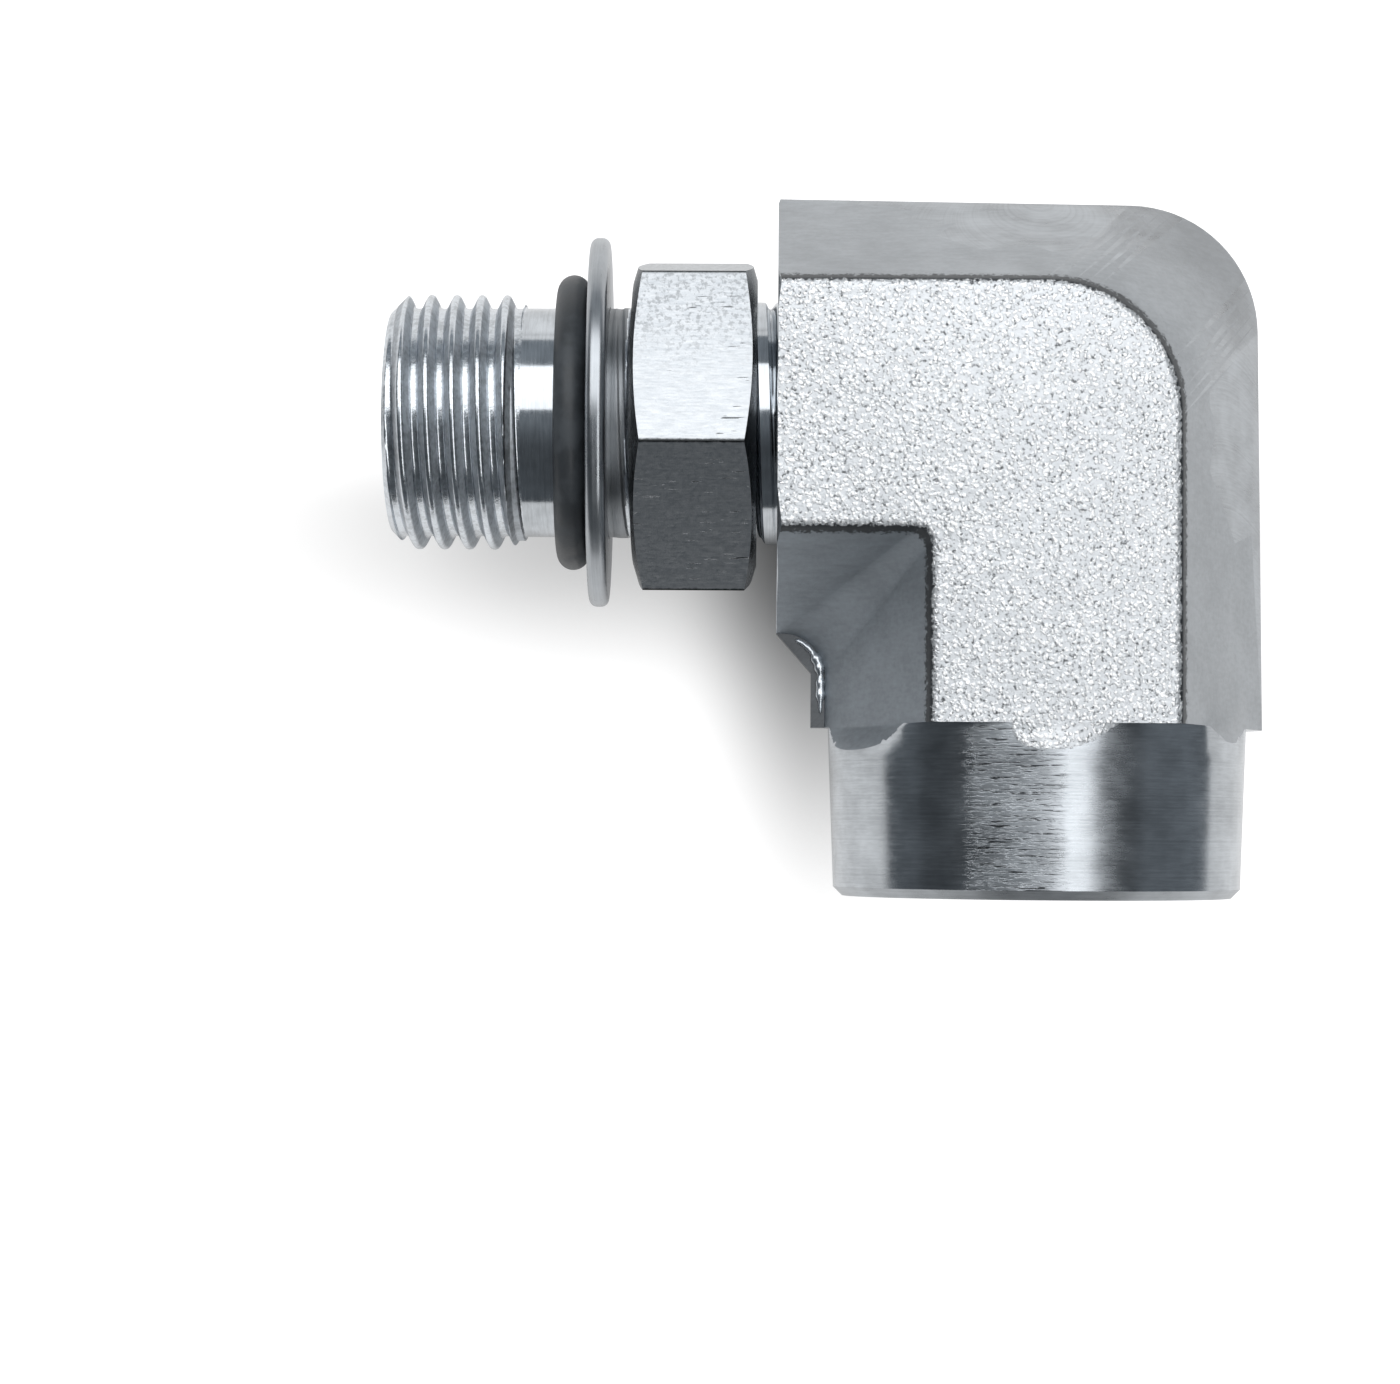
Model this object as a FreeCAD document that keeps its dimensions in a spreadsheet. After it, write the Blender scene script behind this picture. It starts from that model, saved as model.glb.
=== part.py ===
# Ninety degree hydraulic adapter: a forged elbow with an adjustable male stud and a female pipe port.
#
# The stud runs along -X and the pipe port opens along -Y. The forging's parting plane is the XY plane,
# and the part lies on its rear forged flat. The origin is on the port's axis, on the plane where the
# port's countersink ends and its thread starts, which is the plane a pipe thread is gauged from.
import FreeCAD, Part
import math
import os
import Sketcher

PARTS_FOLDER = "parts"
TINY = 1e-4

# Driving dimensions in millimetres and degrees: alias, value, what it sets
SIZES = [
    ("port_reach", 26.35, "stud axis to the face of the pipe port"),
    ("stud_reach", 36.05, "port axis to the end of the stud"),
    ("body_reach", 14.5, "port axis to the faced end of the forging behind the stud"),
    ("shoulder_reach", 17.05, "stud axis to the turned shoulder above the barrel"),
    ("forging_half_height", 11.35, "parting plane to the forged flat"),
    ("flat_half_width", 6.5, "middle of the forged flat to its edge"),
    ("flat_offset_x", 0.15, "forged flat off the port axis, towards the outer corner"),
    ("flat_offset_y", -0.28, "forged flat off the stud axis, towards the port"),
    ("outer_half_width", 12.2, "axis to the outer parting line at the outer corner"),
    ("stud_leg_half_width", 12.6, "stud axis to the outer parting line at the faced end"),
    ("port_leg_half_width", 12.5, "port axis to the outer parting line at the shoulder"),
    ("inner_half_width", 11.8, "axis to the inner parting line"),
    ("outer_corner_radius", 7.2, "round of the elbow's outer corner"),
    ("inner_corner_radius", 2.4, "fillet of the elbow's inner corner at the parting line"),
    ("flat_inner_radius", 0.8, "fillet of the flat's inner corner"),
    ("trim_land", 1.2, "height of the trimmed flash land on the parting line"),
    ("corner_gap", 1.95, "faced end of the forging to the flash left beside the port leg"),
    ("corner_land", 0.2, "least straight stretch from the inner corner's fillet to the faced end"),
    ("corner_trim", 2.2, "slant of the trimmed flash across the inner corner"),
    ("forged_edge_radius", 0.6, "rounding of the forged flat's edges"),
    ("boss_radius", 12.0, "as-forged round boss under the turned barrel"),
    ("boss_blend", 2.2, "length over which the forged section turns round"),
    ("barrel_shoulder_radius", 11.58, "turned barrel at its shoulder"),
    ("barrel_end_radius", 11.25, "turned barrel at its open end"),
    ("barrel_chamfer", 0.5, "chamfer round the barrel's open end"),
    ("faced_end_radius", 12.3, "flat part of the faced end behind the stud"),
    ("faced_end_slope", 15, "slope of the turned cone outside the faced end"),
    ("port_bore_radius", 7.35, "tapping bore of the three-eighths pipe port"),
    ("port_mouth_radius", 8.75, "countersink of the pipe port at its face"),
    ("port_bore_depth", 15.2, "port face to the bottom of the tapping bore"),
    ("port_passage_radius", 4.75, "flow passage above the tapping bore"),
    ("passage_overrun", 3.2, "flow passage carried past the stud axis"),
    ("drill_half_angle", 59, "half the point angle of the drills"),
    ("thread_radius", 7.125, "crest of the nine-sixteenths eighteen thread"),
    ("rear_thread_radius", 6.7, "pitch radius of the thread that carries the locknut"),
    ("neck_radius", 6.4, "relieved neck under the washer and O-ring"),
    ("front_thread_length", 7.1, "stud end to the neck"),
    ("front_thread_runout", 0.6, "length of the front thread's rear flank"),
    ("neck_length", 6.4, "length of the neck between the two threads"),
    ("stud_chamfer", 0.95, "chamfer at the stud's end"),
    ("stud_bore_radius", 3.75, "flow passage through the stud"),
    ("stud_bore_chamfer", 0.4, "chamfer at the mouth of the stud's passage"),
    ("nut_flats", 17.46, "locknut across flats, eleven-sixteenths"),
    ("nut_length", 6.86, "locknut end to end"),
    ("nut_setback", 1.15, "faced end of the forging to the locknut"),
    ("nut_face_radius", 8.0, "flat face inside the locknut's corner chamfer"),
    ("nut_chamfer_angle", 17, "corner chamfer of the locknut"),
    ("nut_mouth_radius", 7.35, "countersink at each end of the locknut's thread"),
    ("nut_clearance", 0.05, "radial running clearance of the locknut on its thread"),
    ("nut_clock", 12.4, "locknut turned from a flat facing up the stud leg's side"),
    ("washer_setback", 1.4, "locknut to the backup washer"),
    ("washer_radius", 10.31, "backup washer outside"),
    ("washer_thickness", 1.07, "backup washer"),
    ("washer_edge_radius", 0.42, "rounding of the backup washer's rim"),
    ("washer_clearance", 0.08, "radial running clearance of the washer on the neck"),
    ("ring_lean", 1.3, "lean of the loose washer and O-ring on the neck"),
    ("o_ring_section", 1.8, "thickness of the O-ring"),
    ("o_ring_clearance", 0.05, "radial running clearance of the O-ring on the neck"),
    ("o_ring_setback", 0.03, "backup washer to the O-ring"),
]

# Places worked out from the driving dimensions: the sheet keeps them as formulas
DERIVED = [
    ("mouth_depth", "port_mouth_radius - port_bore_radius", "depth of the port's countersink"),
    ("stud_axis_y", "port_reach - mouth_depth", "height of the stud axis over the origin"),
    ("blend_end", "shoulder_reach + boss_blend", "stud axis to where the boss is round"),
    ("inner_round", "min(inner_corner_radius; body_reach - inner_half_width - corner_land)",
     "inner corner's fillet, for which the faced end leaves room"),
    ("neck_front", "stud_reach - front_thread_length", "port axis to the neck's front end"),
    ("neck_rear", "neck_front - neck_length", "port axis to the neck's rear end"),
    ("nut_rear", "body_reach + nut_setback", "port axis to the locknut's rear face"),
    ("nut_front", "nut_rear + nut_length", "port axis to the locknut's front face"),
    ("washer_place", "nut_front + washer_setback + washer_thickness / 2", "port axis to the washer"),
    ("o_ring_place", "washer_place + (washer_thickness + o_ring_section) / 2 + o_ring_setback",
     "port axis to the O-ring"),
    ("washer_bore_radius", "neck_radius + washer_clearance", "hole of the backup washer"),
    ("o_ring_radius", "neck_radius + o_ring_clearance + o_ring_section / 2", "middle line of the O-ring"),
    ("nut_bore_radius", "rear_thread_radius + nut_clearance", "bore of the locknut"),
]

doc = FreeCAD.newDocument("hydraulic_adapter")
sheet = doc.addObject("Spreadsheet::Sheet", "sizes")


def fill_sheet():
    """Write the driving dimensions as plain numbers, and the places that follow from them as formulas."""
    for row, (alias, value, note) in enumerate(SIZES + DERIVED, start=1):
        sheet.set(f"A{row}", note)
        sheet.set(f"B{row}", f"={value}" if isinstance(value, str) else str(value))
        sheet.setAlias(f"B{row}", alias)
    doc.recompute()


def with_sheet(expression):
    """The expression with each size name led by the sheet's name, as objects outside the sheet need it."""
    words = {alias for alias, _, _ in SIZES + DERIVED}
    out, word = "", ""
    for letter in expression + " ":
        if letter.isalnum() or letter == "_":
            word += letter
            continue
        out += f"sizes.{word}" if word in words else word
        out += letter
        word = ""
    return out.strip()


def value_of(expression):
    """The number that an expression in size names comes to."""
    return float(sheet.evalExpression(with_sheet(expression)))


def bind(thing, path, expression):
    """Tie one property of an object to an expression in size names."""
    thing.setExpression(path, with_sheet(expression))


# Sketching

def origin_feature(body, role):
    """The body's own origin plane or axis with this role."""
    return next(feature for feature in body.Origin.OriginFeatures if feature.Role == role)


def new_sketch(body, name, plane, offset=None):
    """A sketch on one of the body's origin planes, moved along the plane's normal by an expression."""
    sketch = body.newObject("Sketcher::SketchObject", name)
    sketch.AttachmentSupport = [(origin_feature(body, plane), "")]
    sketch.MapMode = "FlatFace"
    if offset:
        bind(sketch, ".AttachmentOffset.Base.z", offset)
    return sketch


def dimension(sketch, constraint, name, expression):
    """Add a driving constraint and tie its value to an expression."""
    index = sketch.addConstraint(constraint)
    sketch.renameConstraint(index, name)
    bind(sketch, f"Constraints.{name}", expression)


def rounded_corner(before, corner, after, radius):
    """Tangent points and arc that round the corner between two neighbouring points."""
    back = (before - corner).normalize()
    ahead = (after - corner).normalize()
    half_angle = back.getAngle(ahead) / 2
    middle = (back + ahead).normalize()
    run = radius / math.tan(half_angle)
    start, end = corner + back * run, corner + ahead * run
    through = corner + middle * (radius / math.sin(half_angle) - radius)
    return start, Part.Arc(start, through, end), end


def closed_profile(sketch, corners):
    """Draw a closed outline whose corners are expressions: (x, y) or, for a rounded one, (x, y, radius).

    A sharp corner is held by its two coordinates. A rounded one is held by a construction point on both
    of its sides, and its arc is tangent to them, so that every corner follows the sheet.
    """
    places = [FreeCAD.Vector(value_of(c[0]), value_of(c[1]), 0) for c in corners]
    radii = [value_of(c[2]) if len(c) > 2 else 0 for c in corners]
    count = len(corners)
    rounds = {}
    for i in range(count):
        if radii[i]:
            rounds[i] = rounded_corner(places[i - 1], places[i], places[(i + 1) % count], radii[i])
    lines = []
    for i in range(count):
        after = (i + 1) % count
        start = rounds[i][2] if i in rounds else places[i]
        end = rounds[after][0] if after in rounds else places[after]
        lines.append(sketch.addGeometry(Part.LineSegment(start, end), False))
    for i in range(count):
        x, y = corners[i][:2]
        if i not in rounds:
            sketch.addConstraint(Sketcher.Constraint("Coincident", lines[i - 1], 2, lines[i], 1))
            place = (lines[i], 1)
        else:
            arc = sketch.addGeometry(rounds[i][1], False)
            ends_in_order = sketch.getPoint(arc, 1).distanceToPoint(rounds[i][0]) < 1e-6
            first, last = (1, 2) if ends_in_order else (2, 1)
            point = sketch.addGeometry(Part.Point(places[i]), True)
            sketch.addConstraint(Sketcher.Constraint("Tangent", lines[i - 1], 2, arc, first))
            sketch.addConstraint(Sketcher.Constraint("Tangent", lines[i], 1, arc, last))
            sketch.addConstraint(Sketcher.Constraint("PointOnObject", point, 1, lines[i - 1]))
            sketch.addConstraint(Sketcher.Constraint("PointOnObject", point, 1, lines[i]))
            radius = Sketcher.Constraint("Radius", arc, radii[i])
            dimension(sketch, radius, f"radius_{i}", corners[i][2])
            place = (point, 1)
        dimension(sketch, Sketcher.Constraint("DistanceX", *place, places[i].x), f"across_{i}", x)
        dimension(sketch, Sketcher.Constraint("DistanceY", *place, places[i].y), f"up_{i}", y)


def circle_profile(sketch, radius):
    """Draw a circle about the sketch's origin."""
    circle = sketch.addGeometry(Part.Circle(FreeCAD.Vector(), FreeCAD.Vector(0, 0, 1), value_of(radius)))
    sketch.addConstraint(Sketcher.Constraint("Coincident", circle, 3, -1, 1))
    dimension(sketch, Sketcher.Constraint("Radius", circle, value_of(radius)), "radius", radius)


# Features

def new_body(label):
    """An empty body under its node's name."""
    body = doc.addObject("PartDesign::Body", label)
    body.Label = label
    return body


def checked(body, feature, removes):
    """Recompute a new feature and make sure that it added or removed material, as it should."""
    before = body.Tip.BaseFeature.Shape.Volume if body.Tip.BaseFeature else 0.0
    doc.recompute()
    change = feature.Shape.Volume - before
    if (change >= 0) if removes else (change <= 0):
        raise RuntimeError(f"{feature.Name} changed the volume by {change:.3f}")
    return feature


def turned(body, name, kind, axis, corners):
    """Revolve a profile drawn on the XY plane about one of the body's axes, as a solid or as a cut."""
    sketch = new_sketch(body, f"{name}_profile", "XY_Plane")
    closed_profile(sketch, corners)
    feature = body.newObject(f"PartDesign::{kind}", name)
    feature.Profile = sketch
    feature.ReferenceAxis = (origin_feature(body, axis), [""])
    feature.Angle = 360
    return checked(body, feature, removes=kind == "Groove")


def lofted(body, name, first, second):
    """A ruled solid between two sketches."""
    feature = body.newObject("PartDesign::AdditiveLoft", name)
    feature.Profile = first
    feature.Sections = [second]
    feature.Ruled = True
    return checked(body, feature, removes=False)


# Elbow body

def leg_outline(sketch, side, inner, stud_end, port_end, off_x, off_y, outer_radius, inner_radius):
    """Draw the elbow's L outline: two legs that widen a little towards their ends.

    side is the half width outside the corner, inner the half width inside it, and stud_end and port_end
    are the half widths at the two ends. off_x and off_y move the whole outline off the axes.
    """
    closed_profile(sketch, [
        ("-body_reach", f"{off_y} + {stud_end}"),
        (f"{off_x} + {side}", f"{off_y} + {side}", outer_radius),
        (f"{off_x} + {port_end}", "-shoulder_reach"),
        (f"{off_x} - {inner}", "-shoulder_reach"),
        (f"{off_x} - {inner}", f"{off_y} - {inner}", inner_radius),
        ("-body_reach", f"{off_y} - {inner}"),
    ])


def parting_outline(sketch):
    """Outline of the forging on its parting line."""
    leg_outline(sketch, "outer_half_width", "inner_half_width", "stud_leg_half_width",
                "port_leg_half_width", "0", "0", "outer_corner_radius", "inner_round")


def leave_corner_flash(body):
    """The flash that the trimming die leaves across the elbow's inner corner and beside the port leg."""
    web = new_sketch(body, "corner_trim_line", "XY_Plane")
    closed_profile(web, [
        ("-body_reach", "-inner_half_width"),
        ("-body_reach + corner_gap", "-inner_half_width - corner_trim"),
        ("-body_reach + corner_gap", "-shoulder_reach"),
        ("-flat_half_width", "-shoulder_reach"),
        ("-flat_half_width", "-inner_half_width"),
    ])
    pad = body.newObject("PartDesign::Pad", "corner_web")
    pad.Profile = web
    pad.SideType = "Symmetric"
    bind(pad, "Length", "trim_land")
    checked(body, pad, removes=False)


def forge_legs(body):
    """The two drafted halves of the forging, with the trimmed flash land between them."""
    land = new_sketch(body, "trim_line", "XY_Plane")
    parting_outline(land)
    pad = body.newObject("PartDesign::Pad", "flash_land")
    pad.Profile = land
    pad.SideType = "Symmetric"
    bind(pad, "Length", "trim_land")
    checked(body, pad, removes=False)
    leave_corner_flash(body)

    foot = new_sketch(body, "draft_foot", "XY_Plane", "trim_land / 2")
    parting_outline(foot)
    flat = new_sketch(body, "forged_flat", "XY_Plane", "forging_half_height")
    leg_outline(flat, "flat_half_width", "flat_half_width", "flat_half_width", "flat_half_width",
                "flat_offset_x", "flat_offset_y", "outer_corner_radius", "flat_inner_radius")
    half = lofted(body, "drafted_half", foot, flat)
    mirror = body.newObject("PartDesign::Mirrored", "other_half")
    mirror.Originals = [half]
    mirror.MirrorPlane = (origin_feature(body, "XY_Plane"), [""])
    body.Tip = mirror
    checked(body, mirror, removes=False)
    round_flat_edges(body, mirror)


def round_flat_edges(body, forging):
    """Round both flats' edges along the legs, and leave the edges at the legs' two ends sharp."""
    height = value_of("forging_half_height")
    ends = (value_of("-body_reach"), value_of("-shoulder_reach"))
    edges = []
    for number, edge in enumerate(forging.Shape.Edges, start=1):
        box = edge.BoundBox
        on_flat = abs(abs(box.Center.z) - height) < TINY and box.ZLength < TINY
        across_end = abs(box.XMax - ends[0]) < TINY or abs(box.YMax - ends[1]) < TINY
        if on_flat and not across_end:
            edges.append(f"Edge{number}")
    fillet = body.newObject("PartDesign::Fillet", "forged_edges")
    fillet.Base = (forging, edges)
    bind(fillet, "Radius", "forged_edge_radius")
    checked(body, fillet, removes=True)


def forge_boss(body):
    """The port leg's section turns from the drafted hexagon into a round boss, as the die makes it."""
    section = new_sketch(body, "leg_section", "XZ_Plane", "shoulder_reach")
    left, right = "flat_offset_x - flat_half_width", "flat_offset_x + flat_half_width"
    closed_profile(section, [
        ("port_leg_half_width", "trim_land / 2"),
        (right, "forging_half_height"),
        (left, "forging_half_height"),
        ("-inner_half_width", "trim_land / 2"),
        ("-inner_half_width", "-trim_land / 2"),
        (left, "-forging_half_height"),
        (right, "-forging_half_height"),
        ("port_leg_half_width", "-trim_land / 2"),
    ])
    round_section = new_sketch(body, "boss_section", "XZ_Plane", "blend_end")
    circle_profile(round_section, "boss_radius")
    lofted(body, "boss_blend_loft", section, round_section)
    turned(body, "boss", "Revolution", "Y_Axis", [
        ("0", "-blend_end"),
        ("boss_radius", "-blend_end"),
        ("boss_radius", "-port_reach"),
        ("0", "-port_reach"),
    ])


def turn_outside(body):
    """The lathe work on the forging: the barrel under its shoulder, and the faced end behind the stud."""
    clear = "port_leg_half_width + inner_half_width"
    turned(body, "barrel_turning", "Groove", "Y_Axis", [
        (clear, "-shoulder_reach"),
        ("barrel_shoulder_radius", "-shoulder_reach"),
        ("barrel_end_radius", "-port_reach + barrel_chamfer"),
        ("barrel_end_radius - barrel_chamfer", "-port_reach"),
        (clear, "-port_reach"),
    ])
    rim = "stud_leg_half_width + forging_half_height"
    turned(body, "faced_end_cone", "Groove", "X_Axis", [
        ("-body_reach", "faced_end_radius"),
        (f"-body_reach + ({rim} - faced_end_radius) * tan(faced_end_slope * 1 deg)", rim),
        ("-body_reach", rim),
    ])


def turn_stud(body):
    """The adjustable stud: thread for the locknut, neck for washer and O-ring, thread for the port."""
    turned(body, "stud", "Revolution", "X_Axis", [
        ("-body_reach + stud_bore_radius", "0"),
        ("-body_reach + stud_bore_radius", "rear_thread_radius"),
        ("-neck_rear", "rear_thread_radius"),
        ("-neck_rear", "neck_radius"),
        ("-neck_front", "neck_radius"),
        ("-neck_front - front_thread_runout", "thread_radius"),
        ("-stud_reach + stud_chamfer", "thread_radius"),
        ("-stud_reach", "thread_radius - stud_chamfer"),
        ("-stud_reach", "0"),
    ])


def drill_passages(body):
    """The pipe port with its countersink and tapping bore, and the two drilled passages that meet."""
    point = "tan(drill_half_angle * 1 deg)"
    bore_end = "-port_reach + port_bore_depth"
    turned(body, "pipe_port", "Groove", "Y_Axis", [
        ("0", "-port_reach"),
        ("port_mouth_radius", "-port_reach"),
        ("port_bore_radius", "-port_reach + mouth_depth"),
        ("port_bore_radius", bore_end),
        ("port_passage_radius", f"{bore_end} + (port_bore_radius - port_passage_radius) / {point}"),
        ("port_passage_radius", "passage_overrun"),
        ("0", f"passage_overrun + port_passage_radius / {point}"),
    ])
    turned(body, "stud_passage", "Groove", "X_Axis", [
        ("-stud_reach", "0"),
        ("-stud_reach", "stud_bore_radius + stud_bore_chamfer"),
        ("-stud_reach + stud_bore_chamfer", "stud_bore_radius"),
        ("0", "stud_bore_radius"),
        (f"stud_bore_radius / {point}", "0"),
    ])


def build_elbow():
    """The elbow with its integral stud: one forging, turned, drilled and threaded."""
    body = new_body("elbow_body")
    forge_legs(body)
    forge_boss(body)
    turn_stud(body)
    turn_outside(body)
    drill_passages(body)
    bind(body, ".Placement.Base.y", "stud_axis_y")
    return body


# Loose pieces on the stud

def place_on_stud(piece, distance):
    """Put a piece, made about its own X axis, on the stud axis at a distance from the port axis."""
    bind(piece, ".Placement.Base.x", f"-({distance})")
    bind(piece, ".Placement.Base.y", "stud_axis_y")


def turn_piece(piece, axis, angle):
    """Turn a piece about an axis through its own origin by an angle of the sheet."""
    piece.Placement = FreeCAD.Placement(FreeCAD.Vector(), FreeCAD.Rotation(axis, value_of(angle)))
    bind(piece, ".Placement.Rotation.Angle", f"{angle} * 1 deg")


def build_locknut():
    """The hexagon locknut, chamfered at both ends, with its front face at its own origin."""
    body = new_body("locknut")
    hexagon = new_sketch(body, "hexagon", "YZ_Plane")
    flat, corner = "nut_flats / 2", "nut_flats / 2 / cos(30 deg)"
    closed_profile(hexagon, [
        ("0", corner),
        (f"-({flat})", f"{corner} / 2"),
        (f"-({flat})", f"-{corner} / 2"),
        ("0", f"-({corner})"),
        (flat, f"-{corner} / 2"),
        (flat, f"{corner} / 2"),
    ])
    pad = body.newObject("PartDesign::Pad", "hexagon_pad")
    pad.Profile = hexagon
    bind(pad, "Length", "nut_length")
    checked(body, pad, removes=False)
    slope = f"({corner} - nut_face_radius) * tan(nut_chamfer_angle * 1 deg)"
    turned(body, "front_chamfer", "Groove", "X_Axis", [
        ("0", "nut_face_radius"),
        (f"2 * {slope}", f"2 * {corner} - nut_face_radius"),
        ("0", f"2 * {corner} - nut_face_radius"),
    ])
    turned(body, "rear_chamfer", "Groove", "X_Axis", [
        ("nut_length", "nut_face_radius"),
        (f"nut_length - 2 * {slope}", f"2 * {corner} - nut_face_radius"),
        ("nut_length", f"2 * {corner} - nut_face_radius"),
    ])
    mouth = "nut_mouth_radius - nut_bore_radius"
    turned(body, "threaded_bore", "Groove", "X_Axis", [
        ("0", "0"),
        ("0", "nut_mouth_radius"),
        (mouth, "nut_bore_radius"),
        (f"nut_length - ({mouth})", "nut_bore_radius"),
        ("nut_length", "nut_mouth_radius"),
        ("nut_length", "0"),
    ])
    turn_piece(body, FreeCAD.Vector(1, 0, 0), "nut_clock")
    place_on_stud(body, "nut_front")
    return body


def build_washer():
    """The thin backup washer with its rounded rim, loose on the neck, so that it leans a little."""
    body = new_body("backup_washer")
    half = "washer_thickness / 2"
    turned(body, "washer_ring", "Revolution", "X_Axis", [
        (f"-{half}", "washer_bore_radius"),
        (half, "washer_bore_radius"),
        (half, "washer_radius", "washer_edge_radius"),
        (f"-{half}", "washer_radius", "washer_edge_radius"),
    ])
    turn_piece(body, FreeCAD.Vector(0, 1, 0), "ring_lean")
    place_on_stud(body, "washer_place")
    return body


def build_o_ring():
    """The O-ring round the neck, leaning with the washer that backs it."""
    body = new_body("o_ring")
    sketch = new_sketch(body, "ring_section", "XY_Plane")
    radius = "o_ring_section / 2"
    middle = FreeCAD.Vector(0, value_of("o_ring_radius"), 0)
    circle = sketch.addGeometry(Part.Circle(middle, FreeCAD.Vector(0, 0, 1), value_of(radius)))
    sketch.addConstraint(Sketcher.Constraint("PointOnObject", circle, 3, -2))
    dimension(sketch, Sketcher.Constraint("DistanceY", circle, 3, middle.y), "ring", "o_ring_radius")
    dimension(sketch, Sketcher.Constraint("Radius", circle, value_of(radius)), "section", radius)
    ring = body.newObject("PartDesign::Revolution", "ring")
    ring.Profile = sketch
    ring.ReferenceAxis = (origin_feature(body, "X_Axis"), [""])
    ring.Angle = 360
    checked(body, ring, removes=False)
    turn_piece(body, FreeCAD.Vector(0, 1, 0), "ring_lean")
    place_on_stud(body, "o_ring_place")
    return body


# Checks and files

def check_model(pieces):
    """Stop if anything in the document failed, or a piece is not one valid solid."""
    doc.recompute()
    for thing in doc.Objects:
        if "Invalid" in thing.State or "Error" in thing.State:
            raise RuntimeError(f"{thing.Name} is {thing.State}")
    for piece in pieces:
        shape = piece.Shape
        if shape.isNull() or not shape.isValid() or len(shape.Solids) != 1:
            raise RuntimeError(f"{piece.Label} is not one valid solid")


def write_parts(pieces):
    """Write each piece to its own file, named after its node."""
    os.makedirs(PARTS_FOLDER, exist_ok=True)
    for piece in pieces:
        piece.Shape.exportStep(os.path.join(PARTS_FOLDER, f"{piece.Label}.step"))
        box = piece.Shape.BoundBox
        print(f"{piece.Label}: {piece.Shape.Volume:.1f} mm3, {len(piece.Shape.Faces)} faces, "
              f"x {box.XMin:.2f} to {box.XMax:.2f}, y {box.YMin:.2f} to {box.YMax:.2f}, "
              f"z {box.ZMin:.2f} to {box.ZMax:.2f}")


fill_sheet()
all_pieces = [build_elbow(), build_locknut(), build_washer(), build_o_ring()]
check_model(all_pieces)
write_parts(all_pieces)
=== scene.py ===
"""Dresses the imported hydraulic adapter: a forged right-angle elbow with an adjustable stud.

The stud runs along -X, the pipe port opens along -Y, and the adapter lies on its rear forged flat.
The frame gives every piece its place. Threads, plating, rubber, floor, light and camera are made here.
Lengths in this script are millimetres, and become metres where a mesh or a light is made.
"""

import logging
import math
from collections.abc import Callable, Iterable, Mapping
from dataclasses import dataclass, fields
from enum import Enum, IntEnum
from typing import Any, Union

import bmesh
import bpy
from mathutils import Matrix, Vector


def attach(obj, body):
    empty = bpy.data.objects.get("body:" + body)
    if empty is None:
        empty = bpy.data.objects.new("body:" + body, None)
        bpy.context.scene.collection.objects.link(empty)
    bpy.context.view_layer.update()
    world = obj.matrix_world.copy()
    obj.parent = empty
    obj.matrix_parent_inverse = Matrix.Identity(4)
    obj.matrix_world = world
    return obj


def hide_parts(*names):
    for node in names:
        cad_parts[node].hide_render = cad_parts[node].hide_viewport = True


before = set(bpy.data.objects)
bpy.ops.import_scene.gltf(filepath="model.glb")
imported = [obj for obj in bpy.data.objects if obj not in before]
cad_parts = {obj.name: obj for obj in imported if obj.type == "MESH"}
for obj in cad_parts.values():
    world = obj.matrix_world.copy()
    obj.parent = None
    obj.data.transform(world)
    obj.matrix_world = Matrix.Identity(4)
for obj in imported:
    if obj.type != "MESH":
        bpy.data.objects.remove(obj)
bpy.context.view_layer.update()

MM = 0.001
INCH = 25.4
THREADS_PER_INCH = 18
PITCH = INCH / THREADS_PER_INCH
PIPE_TAPER = 1 / 16
STUD_Y = 24.95
PHOTO_WIDTH = 1400
SENSOR_WIDTH = 36.0

log = logging.getLogger("adapter")

Colour = tuple[float, float, float, float]
Operand = Union["Signal", float]


def grey(level: float, cool: float = 0.05) -> Colour:
    """A slightly cool grey, as zinc has.

    Args:
        level: Linear brightness of the green channel.
        cool: How far red falls below and blue rises above it, as a share.

    Returns:
        The colour with full alpha.
    """
    return (level * (1 - cool), level, level * (1 + cool), 1.0)


def put(name: str, data: bpy.types.ID) -> bpy.types.Object:
    """Make an object and link it to the scene.

    Args:
        name: Name of the object.
        data: Its mesh, lamp or camera.

    Returns:
        The object, at the origin.
    """
    made = bpy.data.objects.new(name, data)
    bpy.context.scene.collection.objects.link(made)
    return made


# Node trees


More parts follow.
